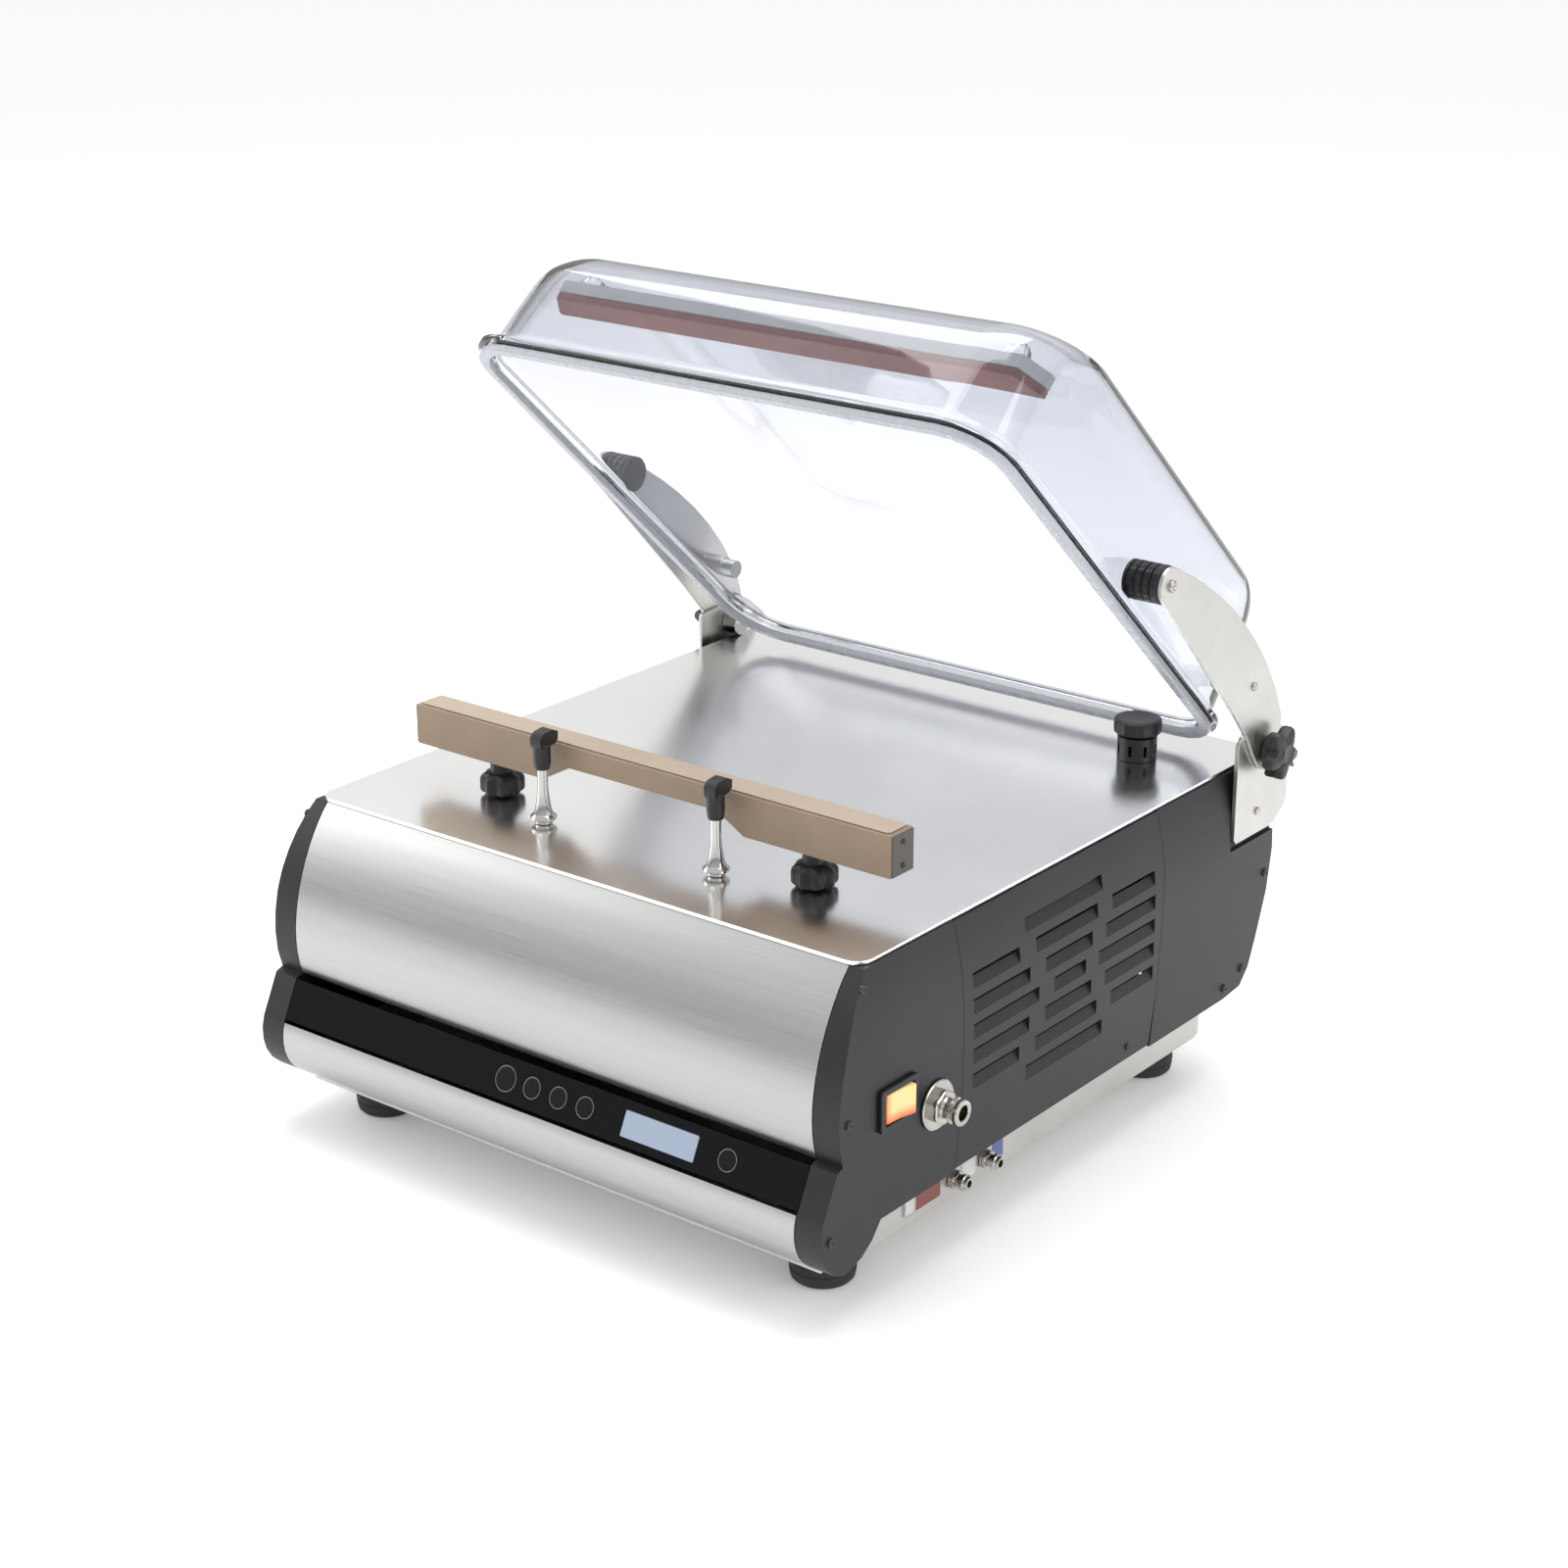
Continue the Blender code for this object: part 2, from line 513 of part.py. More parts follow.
def make_side_fittings():
    bezel = node("switch_bezel", prism(rounded_rectangle(SWITCH_V - 19.5, SWITCH_V + 19.5, SWITCH_Z - 14.5,
                                                         SWITCH_Z + 14.5, 2.0, 2),
                                       side_view, SHELL_HALF + GAP, SHELL_HALF + 3.2), GLOSS_BLACK)
    combine(bezel, box((226.0, SWITCH_V - 16.5, SWITCH_Z - 12.1), (246.5, SWITCH_V + 16.5, SWITCH_Z + 12.1)),
            "UNION")
    combine(bezel, box((238.0, SWITCH_V - 15.0, SWITCH_Z - 10.6), (262.0, SWITCH_V + 15.0, SWITCH_Z + 10.6)))
    pivot = bpy.data.objects.new("switch_pivot", None)
    pivot.location = body_point(SHELL_HALF - 1.5, SWITCH_V, SWITCH_Z)
    bpy.context.scene.collection.objects.link(pivot)
    faces = [(-12.9, -2.5), (-12.9, 3.8), (0.0, 4.8), (12.4, 7.9), (13.1, 4.0), (6.0, -3.8), (-6.0, -3.8)]
    node("switch_rocker", prism(faces, lambda a, b, t: Vector((b * MM, a * MM, t * MM)), -10.1, 10.1),
         AMBER, pivot)
    start = SHELL_HALF + GAP
    barb = node("hose_barb", turned([(6.0, 222.0), (6.0, start), (17.0, start), (17.0, start + 2.0),
                                     (15.5, start + 3.0), (10.5, start + 3.0), (9.0, start + 9.0),
                                     (7.0, start + 11.0), (6.4, start + 15.0), (7.6, start + 15.2),
                                     (6.4, start + 18.2), (7.4, start + 18.4), (6.6, start + 21.0)],
                                    along_x(BARB_V, BARB_Z), 28), CHROME)
    combine(barb, turned([(4.2, 210.0), (4.2, 280.0)], along_x(BARB_V, BARB_Z), 16))
    for v, word in ((108.0, "front"), (144.0, "rear")):
        fitting = [(7.0, 230.3), (7.0, 233.5), (5.0, 234.0), (5.0, 237.5), (6.0, 238.0), (6.0, 242.0),
                   (4.2, 243.5)]
        node(f"service_fitting_{word}", turned(fitting, along_x(v, FITTING_Z), 20), CHROME)
    inlet = node("power_inlet", box((100.0, BODY_BACK + GAP, 172.0), (148.0, BODY_BACK + 4.0, 204.0)),
                 BLACK_KNOB)
    combine(inlet, box((110.6, 462.0, 176.6), (137.4, BODY_BACK + 2.0, 199.4)), "UNION")
    combine(inlet, box((113.0, 470.0, 179.0), (135.0, BODY_BACK + 10.0, 197.0)))


# ---------------------------------------------------------------- inside the body

def make_inside():
    floor = FOOT_HEIGHT + GAP + SHEET + GAP

    def on_shaft(a, b, t):
        return body_point(PUMP_X + t, PUMP_V + a, PUMP_Z + b)

    housing = [(58.0, 20.0), (62.0, 24.0), (62.0, 92.0), (56.0, 98.0)]
    pump = node("vacuum_pump", turned(housing, on_shaft, 24), CAST)
    combine(pump, box((-35.0, 205.0, floor), (30.0, 295.0, 70.0)), "UNION")
    combine(pump, turned([(9.0, 40.0), (9.0, 190.0)], along_z(0.0, PUMP_V), 16), "UNION")
    combine(pump, turned([(10.0, 10.0), (10.0, 60.0)], on_shaft, 16))
    motor = node("pump_motor", turned([(50.0, -70.0), (50.0, 10.0)], on_shaft, 24), CAST)
    combine(motor, box((-125.0, 215.0, floor), (-60.0, 285.0, 70.0)), "UNION")
    combine(motor, turned([(10.0, -90.0), (10.0, 30.0)], on_shaft, 16))
    spindle = bpy.data.objects.new("motor_axis", None)
    spindle.location = body_point(PUMP_X, PUMP_V, PUMP_Z)
    bpy.context.scene.collection.objects.link(spindle)

    def about_x(a, b, t):
        return Vector((t * MM, a * MM, b * MM))

    fan = node("motor_fan", turned([(7.0, -100.0), (7.0, 40.0)], about_x, 12), BLACK_KNOB, spindle)
    hub = turned([(14.0, -98.0), (14.0, -76.0)], about_x, 16)
    combine(fan, hub, "UNION")
    blades = []
    for k in range(7):
        turn = Matrix.Rotation(2.0 * math.pi * k / 7, 3, "X")
        corner = [(-95.0, 10.0, -1.2), (-79.0, 10.0, -1.2), (-79.0, 44.0, -1.2), (-95.0, 44.0, -1.2)]
        skew = [Vector((x, y, z + 0.25 * (x + 87.0))) for x, y, z in corner]
        points = [turn @ p * MM for p in skew] + [turn @ (p + Vector((0.0, 0.0, 2.4))) * MM for p in skew]
        faces = [(3, 2, 1, 0), (4, 5, 6, 7), (0, 1, 5, 4), (1, 2, 6, 5), (2, 3, 7, 6), (3, 0, 4, 7)]
        blades.append(mesh_from(points, faces))
    combine(fan, joined(blades), "UNION")
    core = node("seal_transformer", box((90.0, 260.0, floor), (170.0, 340.0, 96.0)), CAST)
    combine(core, prism(rounded_rectangle(102.0, 158.0, 248.0, 352.0, 12.0), plan_view, 44.0, 84.0), "UNION")
    board = node("control_board", box((-140.0, 10.0, 120.0), (90.0, 100.0, 121.6)), BOARD)
    for low, high in (((-120.0, 30.0, 121.0), (-80.0, 70.0, 134.0)),
                      ((-50.0, 40.0, 121.0), (-20.0, 60.0, 130.0)),
                      ((10.0, 30.0, 121.0), (50.0, 75.0, 138.0))):
        combine(board, box(low, high), "UNION")
    valve = node("vent_valve", box((60.0, 385.0, 168.0), (100.0, 425.0, 196.0)), ALLOY)
    combine(valve, turned([(13.0, 190.0), (13.0, 222.0), (11.0, 224.0)], along_z(80.0, 405.0), 20), "UNION")
    curve = bpy.data.curves.new("vacuum_hose", "CURVE")
    curve.dimensions = "3D"
    curve.bevel_depth = 7.0 * MM
    curve.bevel_resolution = 2
    curve.use_fill_caps = True
    route = []
    start, lift_out, along, end = (Vector((0.0, PUMP_V, 191.4)), Vector((0.0, PUMP_V, 228.0)),
                                   Vector((0.0, 404.0, 186.0)), Vector((58.6, 404.0, 182.0)))
    for i in range(25):
        t = i / 24
        weights = ((1 - t) ** 3, 3 * t * (1 - t) ** 2, 3 * t * t * (1 - t), t ** 3)
        spot = sum((w * p for w, p in zip(weights, (start, lift_out, along, end))), Vector())
        route.append(body_point(*spot))
    spline = curve.splines.new("POLY")
    spline.points.add(len(route) - 1)
    for point, spot in zip(spline.points, route):
        point.co = (*spot, 1.0)
    curve.materials.append(HOSE)
    hose = bpy.data.objects.new("vacuum_hose", curve)
    bpy.context.scene.collection.objects.link(hose)


# ---------------------------------------------------------------- lid, its arms and its brackets

def lid_ring(half, front, rear, height, radius, steps=5):
    outline = rounded_rectangle(-half, half, rear, front, radius, steps)
    return [lid_point(a, b, height) for a, b in outline]


# (height, half width, front, rear, corner radius, lean of the wall from upright in degrees)
DOME_RINGS = [(2.5, 217.5, 425.0, 7.7, 38.0, 0), (30.0, 215.0, 423.0, 5.0, 39.0, 4),
              (60.0, 212.0, 419.5, 2.0, 41.0, 10), (76.0, 210.0, 411.0, 1.0, 45.0, 27),
              (92.0, 208.0, 393.0, 3.0, 48.0, 48), (105.0, 204.0, 365.0, 10.0, 49.0, 62),
              (113.0, 197.0, 335.0, 20.0, 48.0, 72), (118.0, 186.0, 305.0, 34.0, 43.0, 82),
              (120.0, 168.0, 280.0, 55.0, 36.0, 90)]
DOME_WALL = 4.2
LID_RIM_LOW = -3.4


def make_lid_dome(hinge):
    rings = [lid_ring(223.0, 433.0, 2.0, LID_RIM_LOW, 42.0), lid_ring(223.0, 433.0, 2.0, 1.6, 42.0),
             lid_ring(222.0, 432.0, 3.0, 2.5, 41.0)]
    rings += [lid_ring(half, front, rear, height, radius)
              for height, half, front, rear, radius, _ in DOME_RINGS]
    inside = []
    for height, half, front, rear, radius, lean in DOME_RINGS:
        inward = DOME_WALL * math.cos(math.radians(lean))
        downward = DOME_WALL * math.sin(math.radians(lean))
        inside.append(lid_ring(half - inward, front - inward, rear + inward, height - downward,
                               radius - inward))
    inside.append(lid_ring(211.5, 421.5, 12.5, LID_RIM_LOW, 34.5))
    inside = inside[:-1][::-1] + inside[-1:]
    count = len(rings[0])
    points = [p for ring in rings + inside for p in ring]
    faces = []
    outer_last, inner_first = len(rings) - 1, len(rings)
    total = len(rings) + len(inside)
    for level in list(range(outer_last)) + list(range(inner_first, total - 1)):
        for i in range(count):
            j = (i + 1) % count
            base, above = level * count, (level + 1) * count
            faces.append((base + i, base + j, above + j, above + i))
    faces.append(tuple(outer_last * count + i for i in range(count)))
    faces.append(tuple(inner_first * count + i for i in range(count))[::-1])
    last = (total - 1) * count
    faces += [(last + i, last + (i + 1) % count, (i + 1) % count, i) for i in range(count)]
    node("lid_dome", mesh_from(points, faces), CLEAR, hinge, 50.0)


def ring_solid(outer, inner, low, high):
    """A flat ring between two rounded rectangles, each (half, front, rear, radius)."""
    rings = [lid_ring(half, front, rear, height, radius)
             for (half, front, rear, radius), height in ((outer, low), (outer, high),
                                                         (inner, high), (inner, low))]
    count = len(rings[0])
    points = [p for ring in rings for p in ring]
    faces = []
    for level in range(4):
        other = (level + 1) % 4
        for i in range(count):
            j = (i + 1) % count
            faces.append((level * count + i, level * count + j, other * count + j, other * count + i))
    return mesh_from(points, faces)


def make_lid_fittings(hinge):
    low = PLATE_TOP - PIVOT_Z + GAP
    outer, inner = (220.5, 430.0, 6.0, 40.0), (212.5, 422.0, 14.0, 34.0)
    node("lid_gasket", ring_solid(outer, inner, low, LID_RIM_LOW - GAP), GASKET, hinge)

    def across(a, b, t):
        return lid_point(t, a, b)

    back, front, bottom = 368.6, 392.6, 55.2

    def bar_plan(inset):
        half = 202.3 - inset
        return [(-half, back), (half, back), (half, back + 4.0), (half - 11.0, front), (11.0 - half, front),
                (-half, back + 4.0)]

    node("counter_bar_silicone", prism(bar_plan(0.6), lid_point, bottom, bottom + 5.6), SILICONE, hinge)
    node("counter_bar_holder", prism(bar_plan(0.0), lid_point, bottom + 5.9, bottom + 16.0), ALLOY, hinge)
    arm_line = (arc((SPACER_S, SPACER_N), 13.0, -95, 75, 8)
                + bezier((205.0, 31.5), (160.0, 46.0), (70.0, 62.0), (2.0, 29.0), 9)
                + bezier((-4.0, 24.5), (-10.0, 18.0), (-16.0, 8.0), (-15.0, 0.0), 3)[1:]
                + arc((0.0, 0.0), 15.0, 180, 270, 5)[1:] + [(12.0, -13.0), (30.0, -8.5), (62.0, -5.0)])
    for side, word in ((-1, "left"), (1, "right")):
        node(f"lid_arm_{word}", prism(arm_line, across, side * ARM_INNER, side * (ARM_INNER + ARM_THICKNESS)),
             SATIN, hinge)
        arm = bpy.data.objects[f"lid_arm_{word}"]
        combine(arm, turned([(5.3, 235.0), (5.3, OUTSIDE)],
                            lambda a, b, t, side=side: lid_point(side * t, a, b), 20))
        combine(arm, turned([(7.0, 217.4), (7.0, 228.0), (8.0, 228.2), (8.0, ARM_INNER + 1.0)],
                            lambda a, b, t, side=side: lid_point(side * t, RIM_BOLT_S + a, RIM_BOLT_N + b),
                            20), "UNION")
        profile = [(7.0, 217.4), (7.0, 228.0), (13.5, 228.2), (13.5, ARM_INNER - GAP)]
        node(f"arm_spacer_{word}",
             turned(profile, lambda a, b, t, side=side: lid_point(side * t, SPACER_S + a, SPACER_N + b), 20),
             RUBBER, hinge)


def make_hinges():
    outline = ([(428.0, 182.0), (431.0, 178.5), (478.0, 178.5), (485.0, 179.5), (500.0, 190.0),
                (501.0, 194.0), (501.0, 236.0), (490.0, 252.0)]
               + arc((PIVOT_V + 8.0, PIVOT_Z), 17.0, 60, 120, 3)
               + [(450.0, 256.5), (430.0, 255.5), (428.0, 253.0)])
    for side, word in ((-1, "left"), (1, "right")):
        inner, outer = side * BRACKET_INNER, side * (ARM_INNER - GAP)
        bracket = node(f"hinge_bracket_{word}", prism(outline, side_view, inner, outer), SATIN)
        stop = turned([(4.0, ARM_INNER - 1.0), (4.0, ARM_INNER + 2.8)],
                      along_x(PIVOT_V + 23.6, PIVOT_Z + 5.0, side), 16)
        combine(bracket, stop, "UNION")
        combine(bracket, turned([(5.3, 235.0), (5.3, OUTSIDE)], along_x(PIVOT_V, PIVOT_Z, side), 20))
        boss = node(f"hinge_boss_{word}", turned([(8.5, 229.0), (9.0, 229.6), (9.0, BRACKET_INNER - GAP)],
                                                 along_x(PIVOT_V, PIVOT_Z, side), 24), BLACK_KNOB)
        combine(boss, turned([(5.3, 234.0), (5.3, OUTSIDE)], along_x(PIVOT_V, PIVOT_Z, side), 20))
        pivot = bpy.data.objects.new(f"star_knob_axis_{word}", None)
        pivot.location = body_point(side * BRACKET_INNER, PIVOT_V, PIVOT_Z)
        bpy.context.scene.collection.objects.link(pivot)
        start = ARM_INNER + ARM_THICKNESS + GAP - BRACKET_INNER
        profile = [(4.9, -7.5), (4.9, start), (9.5, start), (9.5, start + 3.5), (17.0, start + 4.0),
                   (20.0, start + 6.5), (20.0, start + 13.5), (17.5, start + 16.5), (8.0, start + 17.5)]
        node(f"star_knob_{word}",
             turned(profile, lambda a, b, t, side=side: Vector((side * t * MM, a * MM, b * MM)), 50, 5, 8.0,
                    (4, 5, 6, 7)), BLACK_KNOB, pivot)


# ---------------------------------------------------------------- the whole machine

make_base()
make_sides()
make_front()
make_top()
make_nozzle_heads()
make_sealing_bar()
make_side_fittings()
make_inside()
lid_hinge = bpy.data.objects.new("lid_hinge", None)
lid_hinge.location = body_point(0.0, PIVOT_V, PIVOT_Z)
lid_hinge.rotation_euler = (-math.radians(LID_OPEN_DEGREES), 0.0, 0.0)
bpy.context.scene.collection.objects.link(lid_hinge)
make_lid_dome(lid_hinge)
make_lid_fittings(lid_hinge)
make_hinges()
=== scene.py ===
"""Looks of a table-top vacuum packing machine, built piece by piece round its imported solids.

Units are metres, +Z is up and the front faces -Y. The lid stands open at rest.
"""

import json
import math

import bpy
from mathutils import Matrix, Vector


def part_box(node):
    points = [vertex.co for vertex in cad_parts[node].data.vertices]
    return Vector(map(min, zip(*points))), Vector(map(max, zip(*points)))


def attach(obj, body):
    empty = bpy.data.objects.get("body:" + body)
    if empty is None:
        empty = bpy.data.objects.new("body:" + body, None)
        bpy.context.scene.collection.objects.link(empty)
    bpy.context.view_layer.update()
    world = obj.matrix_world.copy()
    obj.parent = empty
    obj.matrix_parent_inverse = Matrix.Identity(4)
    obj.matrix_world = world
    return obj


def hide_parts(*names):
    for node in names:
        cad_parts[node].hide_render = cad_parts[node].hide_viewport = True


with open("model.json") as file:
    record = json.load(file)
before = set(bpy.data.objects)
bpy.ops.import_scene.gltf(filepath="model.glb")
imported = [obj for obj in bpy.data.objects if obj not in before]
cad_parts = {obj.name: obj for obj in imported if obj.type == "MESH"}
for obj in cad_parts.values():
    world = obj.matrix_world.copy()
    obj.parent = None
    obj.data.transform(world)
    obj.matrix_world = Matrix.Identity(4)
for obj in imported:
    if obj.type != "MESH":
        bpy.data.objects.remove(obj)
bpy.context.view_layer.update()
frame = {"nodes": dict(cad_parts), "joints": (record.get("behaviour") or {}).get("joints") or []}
MM = 0.001


# ---------------------------------------------------------------- studio
# A product studio: a wide white floor under a soft overhead panel, with weaker panels at the sides. The room
# is bright above and greyer at eye level, so that the steel shows a gradient from top to bottom.

bpy.context.scene.view_settings.view_transform = "Standard"
bpy.ops.object.select_all(action="DESELECT")
bpy.ops.mesh.primitive_plane_add(size=60.0, location=(0.0, 0.0, -0.2 * MM))
floor = bpy.context.object
floor.name = "studio_floor"


class Wire:
    """An output socket of a finish, on which sums can be written."""

    def __init__(self, finish, socket):
        self.finish = finish
        self.socket = socket

    def maths(self, operation, first, second=0.0):
        return self.finish.node("Math", {"operation": operation}, {0: first, 1: second})

    def __add__(self, other):
        return self.maths("ADD", self, other)

    def __radd__(self, other):
        return self.maths("ADD", other, self)

    def __sub__(self, other):
        return self.maths("SUBTRACT", self, other)

    def __rsub__(self, other):
        return self.maths("SUBTRACT", other, self)

    def __mul__(self, other):
        return self.maths("MULTIPLY", self, other)

    def __rmul__(self, other):
        return self.maths("MULTIPLY", other, self)

    def __pow__(self, other):
        return self.maths("POWER", self, other)


class Finish:
    """A surface finish: one Principled shader and the nodes that vary it over the surface."""

    def __init__(self, name, colour, roughness, metallic=0.0, constants=None):
        self.material = bpy.data.materials.new(name)
        self.material.use_nodes = True
        self.tree = self.material.node_tree
        self.shader = self.tree.nodes["Principled BSDF"]
        fixed = {"Base Color": (*colour, 1.0), "Roughness": roughness, "Metallic": metallic}
        for socket, value in {**fixed, **(constants or {})}.items():
            self.shader.inputs[socket].default_value = value

    def node(self, kind, settings=None, values=None, output=0):
        made = self.tree.nodes.new("ShaderNode" + kind)
        for name, setting in (settings or {}).items():
            if name == "stops":
                for index, (place, shade) in enumerate(setting):
                    stops = made.color_ramp.elements
                    stop = stops[index] if index < 2 else stops.new(place)
                    stop.position = place
                    stop.color = (*shade, 1.0)
            else:
                setattr(made, name, setting)
        for name, value in (values or {}).items():
            if isinstance(value, Wire):
                self.tree.links.new(value.socket, made.inputs[name])
            else:
                made.inputs[name].default_value = value
        return Wire(self, made.outputs[output])

    def grain(self, scale, detail=3.0, stretch=(1.0, 1.0, 1.0)):
        """Noise in the piece's own space, of this many cycles a metre, drawn out along an axis by stretch."""
        place = self.node("TexCoord", output="Object")
        drawn = self.node("Mapping", {}, {"Vector": place, "Scale": stretch})
        return self.node("TexNoise", {}, {"Vector": drawn, "Scale": scale, "Detail": detail})

    def between(self, factor, low, high):
        """A value that runs from low to high as factor runs from 0.3 to 0.7, the range that noise covers."""
        return self.node("MapRange", {}, {"Value": factor, "From Min": 0.3, "From Max": 0.7,
                                          "To Min": low, "To Max": high})

    def blended(self, factor, first, second):
        first, second = (c if isinstance(c, Wire) else (*c, 1.0) for c in (first, second))
        return self.node("Mix", {"data_type": "RGBA"}, {0: factor, 6: first, 7: second}, output=2)

    def feed(self, socket, wire):
        self.tree.links.new(wire.socket, self.shader.inputs[socket])

    def raise_by(self, height, distance, strength=1.0):
        self.feed("Normal", self.node("Bump", {}, {"Height": height, "Distance": distance,
                                                   "Strength": strength}))

    def put_on(self, *pieces):
        for piece in pieces:
            piece.data.materials.clear()
            piece.data.materials.append(self.material)


floor_paint = Finish("studio_floor_paint", (0.93, 0.93, 0.93), 0.75, 0.0,
                     {"Emission Color": (1.0, 1.0, 1.0, 1.0), "Emission Strength": 0.14})
floor_paint.feed("Roughness", floor_paint.between(floor_paint.grain(3.0), 0.7, 0.8))
floor_paint.put_on(floor)

room = bpy.data.worlds.new("studio_room")
bpy.context.scene.world = room
room.use_nodes = True
room_tree = room.node_tree
direction = room_tree.nodes.new("ShaderNodeTexCoord")
height = room_tree.nodes.new("ShaderNodeSeparateXYZ")
fade = room_tree.nodes.new("ShaderNodeValToRGB")
room_tree.links.new(direction.outputs["Generated"], height.inputs[0])
room_tree.links.new(height.outputs["Z"], fade.inputs[0])
room_tree.links.new(fade.outputs[0], room_tree.nodes["Background"].inputs["Color"])
fade.color_ramp.elements[0].position = 0.02
fade.color_ramp.elements[0].color = (0.50, 0.51, 0.53, 1.0)
fade.color_ramp.elements[1].position = 0.38
fade.color_ramp.elements[1].color = (1.0, 1.0, 1.0, 1.0)
room_tree.nodes["Background"].inputs["Strength"].default_value = 0.9

aim = Vector((0.0, 0.0, 0.25))
for name, spot, size, power in (("overhead_panel", (-0.3, 0.5, 2.3), 2.2, 42.0),
                                ("left_panel", (-2.3, -1.1, 1.3), 1.6, 17.0),
                                ("right_panel", (2.4, 0.2, 1.2), 1.4, 12.0)):
    bpy.ops.object.light_add(type="AREA", location=spot)
    panel = bpy.context.object
    panel.name = name
    panel.data.size = size
    panel.data.energy = power
    panel.rotation_euler = (Vector(spot) - aim).to_track_quat("Z", "Y").to_euler()

bpy.ops.object.camera_add(location=(1.2417, -1.6, 0.9863),
                          rotation=(math.radians(69.4), 0.0, math.radians(38.03)))
camera = bpy.context.object
camera.data.lens = 70.5
camera.data.sensor_width = 36.0
bpy.context.scene.camera = camera


# ---------------------------------------------------------------- base tray and rear panel
# A folded tray of satin stainless sheet carries the works, and a slotted sheet closes the back. Each is its
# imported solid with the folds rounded, the way a press brake leaves them.

def rounded_solid(node, width, finish, body="machine_body", segments=2, angle=32.0, suffix="_sheet"):
    """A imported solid's shape as a clean mesh with rounded edges in its finish, standing for its node."""
    piece = bpy.data.objects.new(node + suffix, frame["nodes"][node].data.copy())
    bpy.context.scene.collection.objects.link(piece)
    bpy.ops.object.select_all(action="DESELECT")
    piece.select_set(True)
    bpy.context.view_layer.objects.active = piece
    bpy.ops.object.mode_set(mode="EDIT")
    bpy.ops.mesh.select_all(action="SELECT")
    bpy.ops.mesh.remove_doubles(threshold=0.01 * MM)
    bpy.ops.mesh.dissolve_limited(angle_limit=math.radians(0.8))
    bpy.ops.object.mode_set(mode="OBJECT")
    if width:
        bevel = piece.modifiers.new("rounded_edges", "BEVEL")
        bevel.width = width
        bevel.segments = segments
        bevel.limit_method = "ANGLE"
        bevel.angle_limit = math.radians(angle)
        bevel.miter_outer = "MITER_ARC"
        bpy.ops.object.modifier_apply(modifier=bevel.name)
    bpy.ops.object.shade_smooth_by_angle(angle=math.radians(angle))
    even = piece.modifiers.new("even_shading", "WEIGHTED_NORMAL")
    even.keep_sharp = True
    bpy.ops.object.modifier_apply(modifier=even.name)
    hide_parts(node)
    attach(piece, body)
    finish.put_on(piece)


satin = Finish("satin_stainless_sheet", (0.52, 0.51, 0.49), 0.42, 1.0)
satin_lines = satin.grain(1.0, 4.0, (30.0, 900.0, 900.0))
satin_cloud = satin.grain(18.0)
satin.feed("Roughness", satin.between(satin_lines, 0.36, 0.48))
satin.feed("Base Color", satin.blended(satin.between(satin_cloud, 0.0, 1.0),
                                       (0.50, 0.49, 0.47), (0.58, 0.57, 0.55)))
satin.raise_by(satin_lines, 0.04 * MM, 0.35)
for node, fold in (("base_tray", 1.2 * MM), ("rear_panel", 0.4 * MM)):
    rounded_solid(node, fold, satin)


# ---------------------------------------------------------------- feet
# Four screwed-on rubber feet, turned with a soft lower edge and two grip rings. They are moulded in one
# piece and all alike.

def turned(name, profile, sides=48, angle=35.0):
    """A round piece raised from a disc: each step extrudes the top face and scales it to its radius."""
    bpy.ops.object.select_all(action="DESELECT")
    bpy.ops.mesh.primitive_circle_add(vertices=sides, radius=profile[0][0], fill_type="NGON",
                                      location=(0.0, 0.0, 0.0))
    piece = bpy.context.object
    piece.name = name
    bpy.ops.object.mode_set(mode="EDIT")
    bpy.ops.transform.translate(value=(0.0, 0.0, profile[0][1]))
    for (before, start), (after, end) in zip(profile, profile[1:]):
        bpy.ops.mesh.extrude_region_move(TRANSFORM_OT_translate={"value": (0.0, 0.0, end - start)})
        bpy.ops.transform.resize(value=(after / before, after / before, 1.0),
                                 center_override=(0.0, 0.0, end))
    bpy.ops.mesh.select_all(action="SELECT")
    bpy.ops.mesh.normals_make_consistent(inside=False)
    bpy.ops.object.mode_set(mode="OBJECT")
    bpy.ops.object.shade_smooth_by_angle(angle=math.radians(angle))
    return piece


def settle(piece, place, body, finish, nodes=()):
    """Puts a piece in its place with the place in its mesh, gives it its finish and lets it ride."""
    bpy.ops.object.select_all(action="DESELECT")
    piece.select_set(True)
    bpy.context.view_layer.objects.active = piece
    piece.matrix_world = place
    bpy.ops.object.transform_apply(location=True, rotation=True, scale=True)
    finish.put_on(piece)
    if nodes:
        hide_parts(*nodes)
    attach(piece, body)


